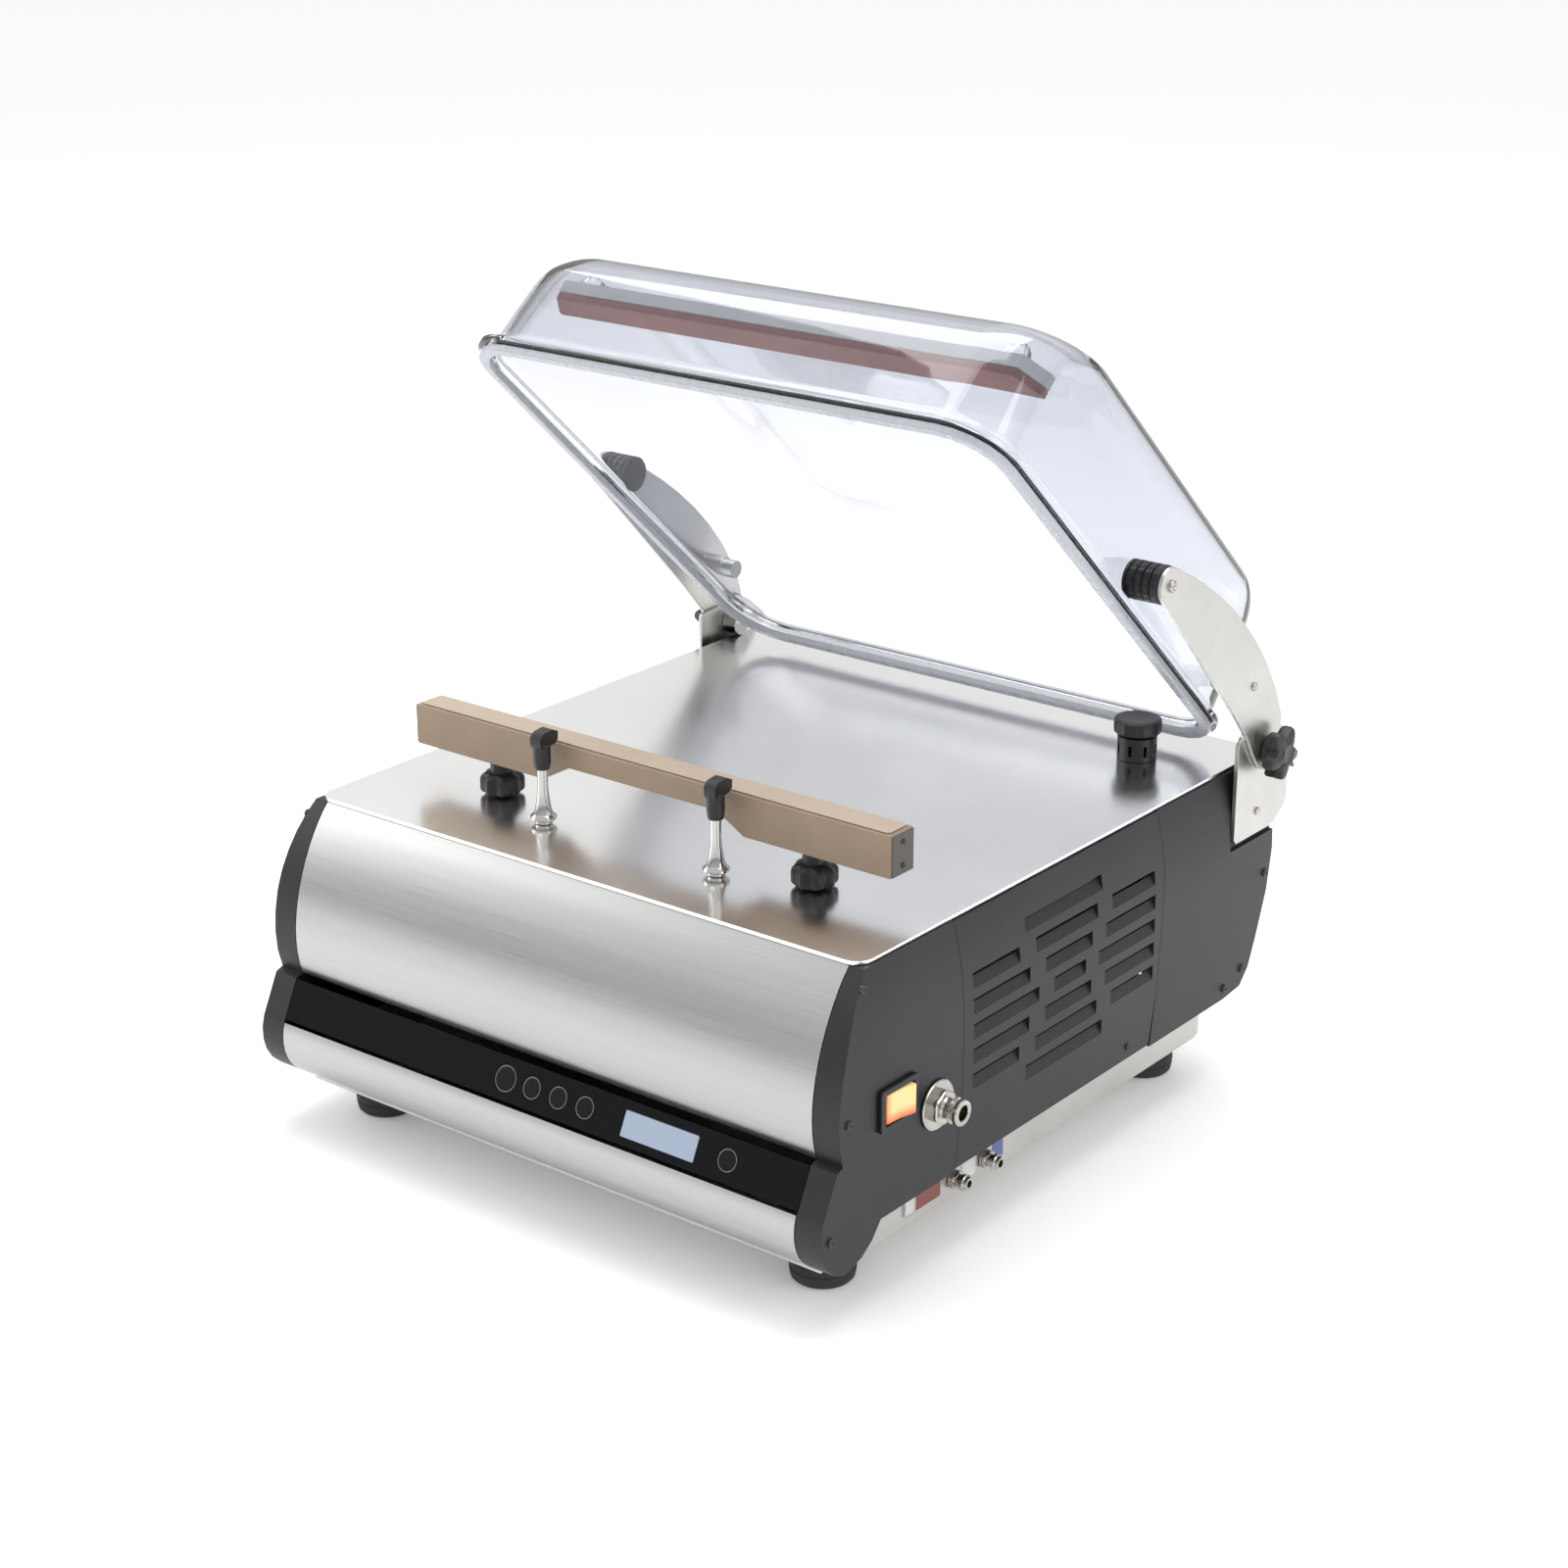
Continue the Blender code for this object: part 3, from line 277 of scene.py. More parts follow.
rubber = Finish("foot_rubber", (0.022, 0.022, 0.023), 0.72)
rubber_grain = rubber.grain(900.0)
rubber.feed("Roughness", rubber.between(rubber.grain(60.0), 0.6, 0.8))
rubber.feed("Base Color", rubber.blended(rubber.between(rubber_grain, 0.0, 1.0),
                                         (0.016, 0.016, 0.017), (0.034, 0.034, 0.035)))
rubber.raise_by(rubber_grain, 0.05 * MM, 0.5)
for corner in ("front_left", "front_right", "rear_left", "rear_right"):
    low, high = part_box("foot_" + corner)
    middle = 0.5 * (low + high)
    tall = high.z - low.z
    profile = [(17.5 * MM, 0.0), (19.5 * MM, 0.6 * MM), (21.0 * MM, 2.2 * MM), (21.6 * MM, 5.0 * MM)]
    for ring in (8.0 * MM, 14.0 * MM):
        profile += [(22.0 * MM, ring), (21.2 * MM, ring + 0.8 * MM), (21.2 * MM, ring + 1.6 * MM),
                    (22.2 * MM, ring + 2.4 * MM)]
    profile += [(23.2 * MM, tall - 4.0 * MM), (22.6 * MM, tall - 1.2 * MM), (21.4 * MM, tall - 0.3 * MM)]
    foot = turned("foot_rubber_" + corner, profile, 56)
    settle(foot, Matrix.Translation((middle.x, middle.y, low.z)), "machine_body", rubber,
           ["foot_" + corner])


# ---------------------------------------------------------------- side shells
# Two deep charcoal side shells with a fine powder-coat texture and a rounded rim. Button-head screws hold
# each one to the chassis, three along the front edge and three down the back.

charcoal = Finish("charcoal_powder_coat", (0.011, 0.012, 0.015), 0.45, 0.0,
                  {"Specular IOR Level": 0.42})
charcoal_grit = charcoal.grain(1500.0, 2.0)
charcoal_cloud = charcoal.grain(9.0, 3.0)
charcoal_tone = charcoal.between(charcoal_cloud + 0.25 * charcoal_grit - 0.12, 0.0, 1.0)
charcoal.feed("Base Color", charcoal.blended(charcoal_tone,
                                             (0.0085, 0.0095, 0.0115), (0.0145, 0.0158, 0.0185)))
charcoal.feed("Roughness", charcoal.between(charcoal_grit, 0.38, 0.52))
charcoal.raise_by(charcoal_grit, 0.05 * MM, 0.45)

zinc = Finish("dark_zinc_screw", (0.055, 0.055, 0.058), 0.35, 0.6)
zinc.feed("Roughness", zinc.between(zinc.grain(700.0), 0.28, 0.48))

TO_RIGHT = Matrix.Rotation(math.radians(90.0), 4, "Y")
TO_LEFT = Matrix.Rotation(math.radians(-90.0), 4, "Y")
plate_low, plate_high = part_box("top_plate")


def button_screw(name, spot, facing, radius, body, finish):
    """A low domed screw head with a round socket."""
    head = turned(name, [(radius, -0.3 * MM), (radius, 0.35 * radius), (0.93 * radius, 0.48 * radius),
                         (0.75 * radius, 0.6 * radius), (0.48 * radius, 0.66 * radius)], 24)
    bpy.ops.object.mode_set(mode="EDIT")
    bpy.ops.mesh.select_all(action="DESELECT")
    bpy.ops.object.mode_set(mode="OBJECT")
    top = max(head.data.polygons, key=lambda face: face.center.z)
    top.select = True
    bpy.ops.object.mode_set(mode="EDIT")
    bpy.ops.mesh.select_mode(type="FACE")
    bpy.ops.mesh.extrude_region_move(TRANSFORM_OT_translate={"value": (0.0, 0.0, -0.4 * radius)})
    bpy.ops.object.mode_set(mode="OBJECT")
    settle(head, Matrix.Translation(spot) @ facing, body, finish)


# How far each screw lies behind the plate's front edge, and its height, in millimetres.
SHELL_SCREWS = ((-4.9, 219.5), (-26.2, 138.6), (-44.0, 66.0), (475.5, 142.7), (449.0, 76.0), (425.0, 68.5))
# The shell's top leans in by this much over this run of height, in millimetres.
SHELL_LEAN, LEAN_START, LEAN_RUN = 9.5, 160.0, 70.0
for side, word, facing in ((-1, "left", TO_LEFT), (1, "right", TO_RIGHT)):
    rounded_solid("side_shell_" + word, 0.9 * MM, charcoal,
                  segments=3, suffix="_moulding")
    low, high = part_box("side_shell_" + word)
    outer = high.x if side > 0 else low.x
    for number, (back, tall) in enumerate(SHELL_SCREWS):
        lean = SHELL_LEAN * max(0.0, (tall - LEAN_START) / LEAN_RUN) ** 2
        spot = Vector((outer - side * lean * MM, plate_low.y + back * MM, tall * MM))
        button_screw(f"shell_screw_{word}_{number}", spot, facing, 3.1 * MM, "machine_body", zinc)


# ---------------------------------------------------------------- vent covers
# A separate louvred panel drops into each side shell. Its slots are pressed inwards, deepest at their top
# edge, and a dark felt screen behind them keeps dust out. One screw holds its foot.

for side, word, facing in ((-1, "left", TO_LEFT), (1, "right", TO_RIGHT)):
    rounded_solid("vent_cover_" + word, 0.45 * MM, charcoal, suffix="_louvres")
    low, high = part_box("vent_cover_" + word)
    outer = high.x if side > 0 else low.x
    spot = Vector((outer, high.y - 42.0 * MM, low.z + 9.0 * MM))
    button_screw(f"vent_screw_{word}", spot, facing, 2.6 * MM, "machine_body", zinc)


def block(name, sides):
    """A plain block of these sides, centred where the axes meet."""
    bpy.ops.object.select_all(action="DESELECT")
    bpy.ops.mesh.primitive_cube_add(size=1.0)
    piece = bpy.context.object
    piece.name = name
    piece.scale = sides
    bpy.ops.object.transform_apply(location=False, rotation=False, scale=True)
    return piece


screen_felt = Finish("dust_screen_felt", (0.006, 0.006, 0.007), 0.9)
felt_fibres = screen_felt.grain(700.0, 4.0)
screen_felt.feed("Base Color", screen_felt.blended(screen_felt.between(felt_fibres, 0.0, 1.0),
                                                   (0.004, 0.004, 0.005), (0.012, 0.012, 0.013)))
screen_felt.raise_by(felt_fibres, 0.2 * MM, 0.6)
SCREEN_THICK, SCREEN_TALL, SCREEN_SET_IN = 1.6 * MM, 148.0 * MM, 12.0 * MM
SCREEN_X, SCREEN_Z = 229.0 * MM, 147.0 * MM
for side, word in ((-1, "left"), (1, "right")):
    low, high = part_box("vent_cover_" + word)
    screen = block("dust_screen_" + word, (SCREEN_THICK, high.y - low.y - SCREEN_SET_IN, SCREEN_TALL))
    bpy.ops.object.mode_set(mode="EDIT")
    bpy.ops.mesh.select_all(action="SELECT")
    bpy.ops.mesh.bevel(offset=0.6 * MM, segments=3)
    bpy.ops.object.mode_set(mode="OBJECT")
    settle(screen, Matrix.Translation((side * SCREEN_X, 0.5 * (low.y + high.y), SCREEN_Z)), "machine_body",
           screen_felt)


# ---------------------------------------------------------------- front panel and lower band
# The curved front panel and the bulging lower band are brushed stainless sheet. The brushing runs along the
# machine, so the sheet stretches its reflections upwards and shows fine level lines.

brushed = Finish("brushed_stainless_sheet", (0.45, 0.45, 0.445), 0.30, 1.0)
brushed_lines = brushed.grain(1.0, 5.0, (12.0, 1400.0, 1400.0))
brushed_bands = brushed.grain(1.0, 3.0, (2.0, 160.0, 160.0))
brushed.feed("Roughness", brushed.between(brushed_lines, 0.27, 0.35))
brushed_tone = brushed.between(0.6 * brushed_lines + 0.4 * brushed_bands, 0.0, 1.0)
brushed.feed("Base Color", brushed.blended(brushed_tone,
                                           (0.44, 0.44, 0.435), (0.49, 0.49, 0.485)))
brushed.raise_by(brushed_lines, 0.010 * MM, 0.3)
for node in ("front_panel", "lower_band"):
    rounded_solid(node, 0.25 * MM, brushed, angle=40.0)


# ---------------------------------------------------------------- key strip, keys and display
# A polished black strip carries five round keys and a pale display behind a thin window. Each key is a
# shallow black dome with a fine pale ring on it, a painted highlight along the dome's edge, and it sits in a
# hole with a hair of clearance.

gloss_black = Finish("gloss_black_strip", (0.005, 0.005, 0.006), 0.08, 0.0, {"Specular IOR Level": 0.14})
gloss_black.feed("Roughness", gloss_black.between(gloss_black.grain(40.0), 0.06, 0.14))
rounded_solid("control_strip", 0.25 * MM, gloss_black, suffix="_gloss")

key_black = Finish("key_black", (0.007, 0.007, 0.008), 0.22, 0.0, {"Specular IOR Level": 0.2})
key_black.feed("Roughness", key_black.between(key_black.grain(300.0), 0.16, 0.3))
ring_highlight = Finish("pale_ring_highlight", (0.24, 0.245, 0.25), 0.4)
ring_highlight.feed("Roughness", ring_highlight.between(ring_highlight.grain(500.0), 0.34, 0.46))

press = next(Vector(joint["axis"]) for joint in frame["joints"] if joint["name"] == "press_start")
outward = -press.normalized()
upward = outward.cross(Vector((1.0, 0.0, 0.0)))
STRIP_TILT = Matrix((Vector((1.0, 0.0, 0.0)), upward, outward)).transposed().to_4x4()

for word in ("start", "cycle", "minus", "plus", "stop"):
    low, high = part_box("key_" + word)
    radius = 0.5 * (high.x - low.x)
    middle = 0.5 * (low + high)
    centre = Matrix.Translation(middle) @ STRIP_TILT
    key = turned("key_cap_" + word, [(radius, -1.3 * MM), (radius, 0.75 * MM),
                                     (radius - 0.25 * MM, 1.05 * MM),
                                     (radius - 0.9 * MM, 1.25 * MM), (0.6 * radius, 1.30 * MM),
                                     (0.3 * radius, 1.22 * MM)], 56)
    settle(key, centre, "key_" + word, key_black, ["key_" + word])
    # The pale torus on each key is a painted highlight, standing for the light caught along the edge of the
    # glossy dome.
    bpy.ops.mesh.primitive_torus_add(major_radius=radius - 1.0 * MM, minor_radius=0.2 * MM,
                                     major_segments=72, minor_segments=8)
    ring = bpy.context.object
    ring.name = "key_ring_" + word
    bpy.ops.object.mode_set(mode="EDIT")
    bpy.ops.mesh.select_all(action="SELECT")
    bpy.ops.transform.resize(value=(1.0, 1.0, 0.6), center_override=(0.0, 0.0, 0.0))
    bpy.ops.object.mode_set(mode="OBJECT")
    bpy.ops.object.shade_smooth()
    settle(ring, centre @ Matrix.Translation((0.0, 0.0, 1.22 * MM)), "key_" + word, ring_highlight)

display = Finish("pale_display", (0.30, 0.36, 0.46), 0.16, 0.0, {"Emission Strength": 0.10})
place = display.node("TexCoord", output="Object")
cells = display.node("SeparateXYZ", {}, {"Vector": place})
COLUMN_PITCH, COLUMN_GAP = 3.1 * MM, 0.56 * MM
columns = display.node("Math", {"operation": "PINGPONG"}, {0: cells, 1: 0.5 * COLUMN_PITCH})
dark = display.node("Math", {"operation": "GREATER_THAN"}, {0: columns, 1: 0.5 * COLUMN_GAP})
display.feed("Base Color", display.blended(0.16 * dark, (0.33, 0.39, 0.49), (0.16, 0.21, 0.31)))
display.feed("Emission Color", display.blended(0.3 * dark, (0.62, 0.74, 0.92), (0.36, 0.50, 0.75)))
rounded_solid("display_window", 0.3 * MM, display, suffix="_lens")


# ---------------------------------------------------------------- top plate
# One flat satin steel plate with rolled edges covers the works. Bags are laid on it, so it has a soft
# directional polish and faint rub marks, and it mirrors what stands on it.

polish = Finish("polished_plate", (0.86, 0.855, 0.84), 0.20, 1.0)
polish_lines = polish.grain(1.0, 4.0, (900.0, 14.0, 60.0))
polish_rubs = polish.grain(7.0, 5.0)
polish.feed("Roughness", polish.between(0.5 * polish_lines + 0.5 * polish_rubs, 0.15, 0.26))
polish.feed("Base Color", polish.blended(polish.between(polish_rubs, 0.0, 1.0),
                                         (0.90, 0.895, 0.885), (0.97, 0.965, 0.955)))
polish.raise_by(polish_lines, 0.012 * MM, 0.3)
rounded_solid("top_plate", 0.8 * MM, polish, segments=3)


# ---------------------------------------------------------------- suction filter
# The air is drawn out through a slotted black stub at the back of the plate, under a loose flat cap that
# keeps scraps and bags away from it.

black_mould = Finish("black_moulding", (0.012, 0.012, 0.014), 0.38, 0.0, {"Specular IOR Level": 0.4})
black_mould_skin = black_mould.grain(1300.0, 2.0)
black_mould.feed("Roughness", black_mould.between(black_mould_skin, 0.30, 0.48))
black_mould.feed("Base Color", black_mould.blended(black_mould.between(black_mould.grain(45.0), 0.0, 1.0),
                                                   (0.008, 0.008, 0.0095), (0.016, 0.016, 0.018)))
black_mould.raise_by(black_mould_skin, 0.03 * MM, 0.4)


def pull_lobes(piece, lobes, depth, lowest, highest):
    """Pulls the wall between two heights inwards between the lobes of a round piece."""
    steps = 6
    turn = 2.0 * math.pi / lobes
    widest = max(Vector((corner.co.x, corner.co.y)).length for corner in piece.data.vertices)
    for step in range(1, steps + 1):
        share = 0.5 - 0.5 * math.cos(math.pi * step / steps)
        for corner in piece.data.vertices:
            around = math.atan2(corner.co.y, corner.co.x) % turn
            away = min(around, turn - around) / (0.5 * turn)
            corner.select = (lowest <= corner.co.z <= highest and abs(away - step / steps) < 0.5 / steps
                             and Vector((corner.co.x, corner.co.y)).length > 0.35 * widest)
        for edge in piece.data.edges:
            edge.select = all(piece.data.vertices[end].select for end in edge.vertices)
        for face in piece.data.polygons:
            face.select = False
        bpy.ops.object.mode_set(mode="EDIT")
        bpy.ops.mesh.select_mode(type="VERT")
        scale = 1.0 - depth / widest * share
        bpy.ops.transform.resize(value=(scale, scale, 1.0), center_override=(0.0, 0.0, 0.0))
        bpy.ops.object.mode_set(mode="OBJECT")


low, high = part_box("suction_cap")
middle = 0.5 * (low + high)
tall = high.z - low.z
cap = turned("suction_filter_cap", [(15.2 * MM, 0.0), (16.6 * MM, 0.4 * MM), (17.3 * MM, 1.4 * MM),
                                    (17.3 * MM, tall - 3.0 * MM), (16.9 * MM, tall - 1.3 * MM),
                                    (15.8 * MM, tall - 0.35 * MM), (14.2 * MM, tall),
                                    (11.0 * MM, tall - 0.5 * MM)], 96)
pull_lobes(cap, 16, 0.5 * MM, 1.0 * MM, tall - 2.0 * MM)
settle(cap, Matrix.Translation((middle.x, middle.y, low.z)), "machine_body", black_mould,
       ["suction_cap"])
rounded_solid("suction_filter", 0.35 * MM, black_mould, suffix="_stub")


# ---------------------------------------------------------------- gas nozzles
# Two chromed posts with a flared foot stand before the sealing bar. Each carries a black head that swivels
# on it, with a flat beak that reaches into the mouth of the bag.

chrome = Finish("bright_chrome", (0.50, 0.495, 0.48), 0.10, 1.0)
chrome.feed("Roughness", chrome.between(chrome.grain(160.0), 0.06, 0.15))
for word in ("left", "right"):
    low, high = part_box("nozzle_stem_" + word)
    middle = 0.5 * (low + high)
    foot = plate_high.z + 0.3 * MM - low.z
    stem = turned("nozzle_post_" + word,
                  [(3.8 * MM, 0.0), (3.8 * MM, foot), (5.6 * MM, foot), (6.1 * MM, foot + 0.6 * MM),
                   (6.1 * MM, foot + 2.2 * MM), (8.4 * MM, foot + 2.9 * MM),
                   (9.0 * MM, foot + 3.7 * MM), (9.0 * MM, foot + 5.0 * MM),
                   (8.4 * MM, foot + 5.7 * MM), (6.8 * MM, foot + 7.0 * MM),
                   (5.7 * MM, foot + 10.0 * MM), (4.9 * MM, foot + 14.5 * MM),
                   (4.1 * MM, foot + 20.0 * MM), (3.6 * MM, foot + 26.0 * MM),
                   (3.6 * MM, high.z - low.z - 0.5 * MM), (3.0 * MM, high.z - low.z)], 56, 28.0)
    settle(stem, Matrix.Translation((middle.x, middle.y, low.z)), "machine_body", chrome,
           ["nozzle_stem_" + word])
    rounded_solid("nozzle_head_" + word, 0.9 * MM, black_mould, "nozzle_head_" + word,
                  3, 40.0, "_beak")


# ---------------------------------------------------------------- sealing bar
# An aluminium bar wrapped in tan woven release cloth, with a paler tape over the heating band on top and a
# dark end plate at each end. It stands on two cylinders, and two scalloped knobs lock it down.

cloth = Finish("tan_release_cloth", (0.27, 0.19, 0.125), 0.5, 0.0, {"Sheen Weight": 0.15})
WEAVE, TAPE_WEAVE = 0.9 * MM, 1.1 * MM
cloth_place = cloth.node("TexCoord", output="Object")
cloth_axes = cloth.node("SeparateXYZ", {}, {"Vector": cloth_place})
warp = cloth.node("Math", {"operation": "SINE"}, {0: cloth_axes * (2.0 * math.pi / WEAVE)})
weft_axis = cloth.node("SeparateXYZ", {}, {"Vector": cloth_place}, output=2)
weft = cloth.node("Math", {"operation": "SINE"}, {0: weft_axis * (2.0 * math.pi / WEAVE)})
weave = 0.5 + 0.25 * warp + 0.25 * weft
cloth_wear = cloth.grain(22.0, 4.0)
cloth.feed("Base Color", cloth.blended(0.35 * weave + 0.65 * cloth.between(cloth_wear, 0.0, 1.0),
                                       (0.23, 0.160, 0.105), (0.34, 0.245, 0.165)))
cloth.feed("Roughness", cloth.between(cloth_wear, 0.38, 0.55))
cloth.raise_by(weave, 0.05 * MM, 0.5)
rounded_solid("sealing_bar", 0.7 * MM, cloth, "seal_bar", 3, suffix="_wrapped")

tape = Finish("pale_release_tape", (0.62, 0.50, 0.37), 0.34, 0.0, {"Coat Weight": 0.2})
tape_place = tape.node("TexCoord", output="Object")
tape_along = tape.node("SeparateXYZ", {}, {"Vector": tape_place})
tape_weave = tape.node("Math", {"operation": "SINE"}, {0: tape_along * (2.0 * math.pi / TAPE_WEAVE)})
tape.feed("Base Color", tape.blended(0.3 + 0.2 * tape_weave + 0.4 * tape.grain(30.0),
                                     (0.40, 0.31, 0.22), (0.55, 0.44, 0.33)))
tape.raise_by(tape_weave, 0.03 * MM, 0.5)
rounded_solid("sealing_band", 0.3 * MM, tape, "seal_bar", 2, suffix="_tape")

bar_low, bar_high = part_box("sealing_bar")
phenolic = Finish("dark_end_plate", (0.06, 0.052, 0.046), 0.42)
phenolic_grain = phenolic.grain(200.0, 4.0, (1.0, 1.0, 4.0))
phenolic.feed("Base Color", phenolic.blended(phenolic.between(phenolic_grain, 0.0, 1.0),
                                             (0.048, 0.042, 0.037), (0.080, 0.070, 0.061)))
END_THICK, END_MARGIN, END_SCREW_RISE = 0.9 * MM, 0.8 * MM, 8.0 * MM
for side, word, facing in ((-1, "left", TO_LEFT), (1, "right", TO_RIGHT)):
    end = block("bar_end_plate_" + word, (END_THICK, bar_high.y - bar_low.y - 2.0 * END_MARGIN,
                                          bar_high.z - bar_low.z - 2.0 * END_MARGIN))
    bevel = end.modifiers.new("rounded", "BEVEL")
    bevel.width = 0.35 * MM
    bevel.segments = 2
    bpy.ops.object.modifier_apply(modifier=bevel.name)
    edge_x = bar_high.x if side > 0 else bar_low.x
    centre = Vector((edge_x + side * 0.5 * END_THICK, 0.5 * (bar_low.y + bar_high.y),
                     0.5 * (bar_low.z + bar_high.z)))
    settle(end, Matrix.Translation(centre), "seal_bar", phenolic)
    for rise in (-END_SCREW_RISE, END_SCREW_RISE):
        button_screw(f"bar_end_screw_{word}_{'low' if rise < 0 else 'top'}",
                     centre + Vector((side * 0.4 * MM, 0.0, rise)), facing, 1.9 * MM, "seal_bar", zinc)

for word in ("left", "right"):
    low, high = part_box("bar_plunger_" + word)
    middle = 0.5 * (low + high)
    base = low.z
    shoulder = plate_high.z + 1.4 * MM - base
    profile = [(4.4 * MM, 0.0), (5.0 * MM, 0.8 * MM), (5.0 * MM, shoulder), (12.2 * MM, shoulder),
               (14.6 * MM, shoulder + 0.9 * MM), (15.5 * MM, shoulder + 2.6 * MM),
               (15.5 * MM, shoulder + 9.6 * MM), (14.9 * MM, shoulder + 11.6 * MM),
               (13.2 * MM, shoulder + 13.4 * MM),
               (10.8 * MM, shoulder + 14.6 * MM), (8.6 * MM, shoulder + 15.0 * MM),
               (8.0 * MM, shoulder + 15.6 * MM), (8.0 * MM, high.z - base)]
    knob = turned("bar_knob_" + word, profile, 96, 30.0)
    pull_lobes(knob, 8, 2.4 * MM, shoulder + 0.4 * MM, shoulder + 14.0 * MM)
    settle(knob, Matrix.Translation((middle.x, middle.y, base)), "seal_bar", black_mould,
           ["bar_plunger_" + word])


# ---------------------------------------------------------------- lock cylinders, valve and works inside
# Under the plate two alloy cylinders lift the bar, an oil pump and its motor draw air, and a transformer,
# a circuit board, a valve and a hose serve them. They are castings, laminations and mouldings.

for node, width, colour, roughness, metal, slot in (
        ("vacuum_pump", 1.2, (0.20, 0.21, 0.22), 0.50, 1.0, "cast_housing"),
        ("pump_motor", 1.0, (0.16, 0.18, 0.21), 0.45, 0.0, "cast_housing"),
        ("seal_transformer", 0.6, (0.24, 0.22, 0.20), 0.55, 1.0, "cast_housing"),
        ("control_board", 0.2, (0.02, 0.13, 0.06), 0.40, 0.0, "green_board"),
        ("vacuum_hose", 0.0, (0.50, 0.50, 0.46), 0.35, 0.0, "hose_plastic"),
        ("vent_valve", 0.6, (0.42, 0.43, 0.45), 0.35, 1.0, "grey_alloy"),
        ("bar_cylinder_left", 0.6, (0.42, 0.43, 0.45), 0.32, 1.0, "grey_alloy"),
        ("bar_cylinder_right", 0.6, (0.42, 0.43, 0.45), 0.32, 1.0, "grey_alloy"),
        ("power_inlet", 0.5, (0.02, 0.02, 0.022), 0.45, 0.0, "black_knob")):
    inner = Finish(node + "_finish", colour, roughness, metal)
    inner_grain = inner.grain(240.0, 4.0)
    inner.feed("Roughness", inner.between(inner_grain, roughness - 0.07, roughness + 0.1))
    inner.feed("Base Color", inner.blended(inner.between(inner.grain(30.0, 4.0), 0.0, 1.0),
                                           [0.82 * part for part in colour], [1.2 * part for part in colour]))
    inner.raise_by(inner_grain, 0.08 * MM, 0.4)
    rounded_solid(node, width * MM, inner, suffix="_works")

fan_plastic = Finish("fan_plastic", (0.03, 0.03, 0.033), 0.5)
fan_plastic.feed("Roughness", fan_plastic.between(fan_plastic.grain(300.0), 0.42, 0.58))
rounded_solid("motor_fan", 0.35 * MM, fan_plastic, "motor_fan", suffix="_wheel")


# ---------------------------------------------------------------- power switch
# A snapped-in black bezel holds a lit amber rocker. The lamp behind the lens makes its face pale, and the
# deeper orange towards the lower edge and the front edge is painted shade, in its colour and its glow alike.

rounded_solid("switch_bezel", 0.7 * MM, black_mould, segments=3, suffix="_frame")
rocker_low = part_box("switch_rocker")[0]
amber = Finish("lit_amber_lens", (0.80, 0.50, 0.16), 0.18, 0.0,
               {"Emission Strength": 0.3, "Coat Weight": 0.6})
lens_axes = amber.node("TexCoord", output="Object")
lens_z = amber.node("SeparateXYZ", {}, {"Vector": lens_axes}, output=2)
lens_y = amber.node("SeparateXYZ", {}, {"Vector": lens_axes}, output=1)
lens_up = amber.node("MapRange", {}, {"Value": lens_z, "From Min": rocker_low.z + 1.0 * MM,
                                      "From Max": rocker_low.z + 8.0 * MM})
lens_back = amber.node("MapRange", {}, {"Value": lens_y, "From Min": rocker_low.y + 0.5 * MM,
                                        "From Max": rocker_low.y + 5.0 * MM})
# Painted shade: the lens turns deeper orange towards its lower and front edges, in colour and glow; the pale
# upper back is the lamp.
lens_lamp_and_shade = lens_up * (0.35 + 0.65 * lens_back)
amber.feed("Base Color", amber.blended(lens_lamp_and_shade, (0.55, 0.10, 0.02), (0.72, 0.50, 0.20)))
amber.feed("Emission Color", amber.blended(lens_lamp_and_shade, (0.70, 0.13, 0.02), (1.0, 0.72, 0.30)))
rounded_solid("switch_rocker", 0.8 * MM, amber, "switch_rocker", 3, suffix="_lens")


# ---------------------------------------------------------------- gas inlet and service fittings
# A nickel-plated hose tail with a wide washer enters the right shell for the gas bottle. Two small unions for
# draining and filling the pump's oil stand out of the tray below, among plain coloured marking patches.

nickel = Finish("nickel_plate", (0.46, 0.445, 0.41), 0.2, 1.0)
nickel.feed("Roughness", nickel.between(nickel.grain(420.0), 0.13, 0.3))
nickel.feed("Base Color", nickel.blended(nickel.between(nickel.grain(60.0), 0.0, 1.0),
                                         (0.42, 0.405, 0.37), (0.54, 0.52, 0.48)))
low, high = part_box("hose_barb")
middle = 0.5 * (low + high)
reach = high.x - low.x
face = 23.8 * MM
barb = turned("gas_hose_tail", [(6.5 * MM, 0.0), (6.5 * MM, face), (16.4 * MM, face),
                                (17.0 * MM, face + 0.5 * MM),
                                (17.0 * MM, face + 1.5 * MM), (16.2 * MM, face + 2.1 * MM),
                                (11.8 * MM, face + 2.2 * MM), (11.8 * MM, face + 7.0 * MM),
                                (10.8 * MM, face + 7.8 * MM), (7.4 * MM, face + 7.9 * MM),
                                (6.7 * MM, face + 9.4 * MM), (6.7 * MM, face + 11.2 * MM),
                                (8.8 * MM, face + 13.6 * MM),
                                (8.8 * MM, face + 14.2 * MM), (6.8 * MM, face + 15.2 * MM),
                                (8.8 * MM, reach - 3.4 * MM), (8.8 * MM, reach - 1.0 * MM),
                                (8.3 * MM, reach - 0.2 * MM),
                                (7.8 * MM, reach), (5.6 * MM, reach), (5.2 * MM, reach - 0.6 * MM),
                                (5.0 * MM, reach - 15.0 * MM)], 72, 28.0)
pull_lobes(barb, 6, 1.5 * MM, face + 2.15 * MM, face + 7.85 * MM)
settle(barb, Matrix.Translation((low.x, middle.y, middle.z)) @ TO_RIGHT, "machine_body", nickel,
       ["hose_barb"])
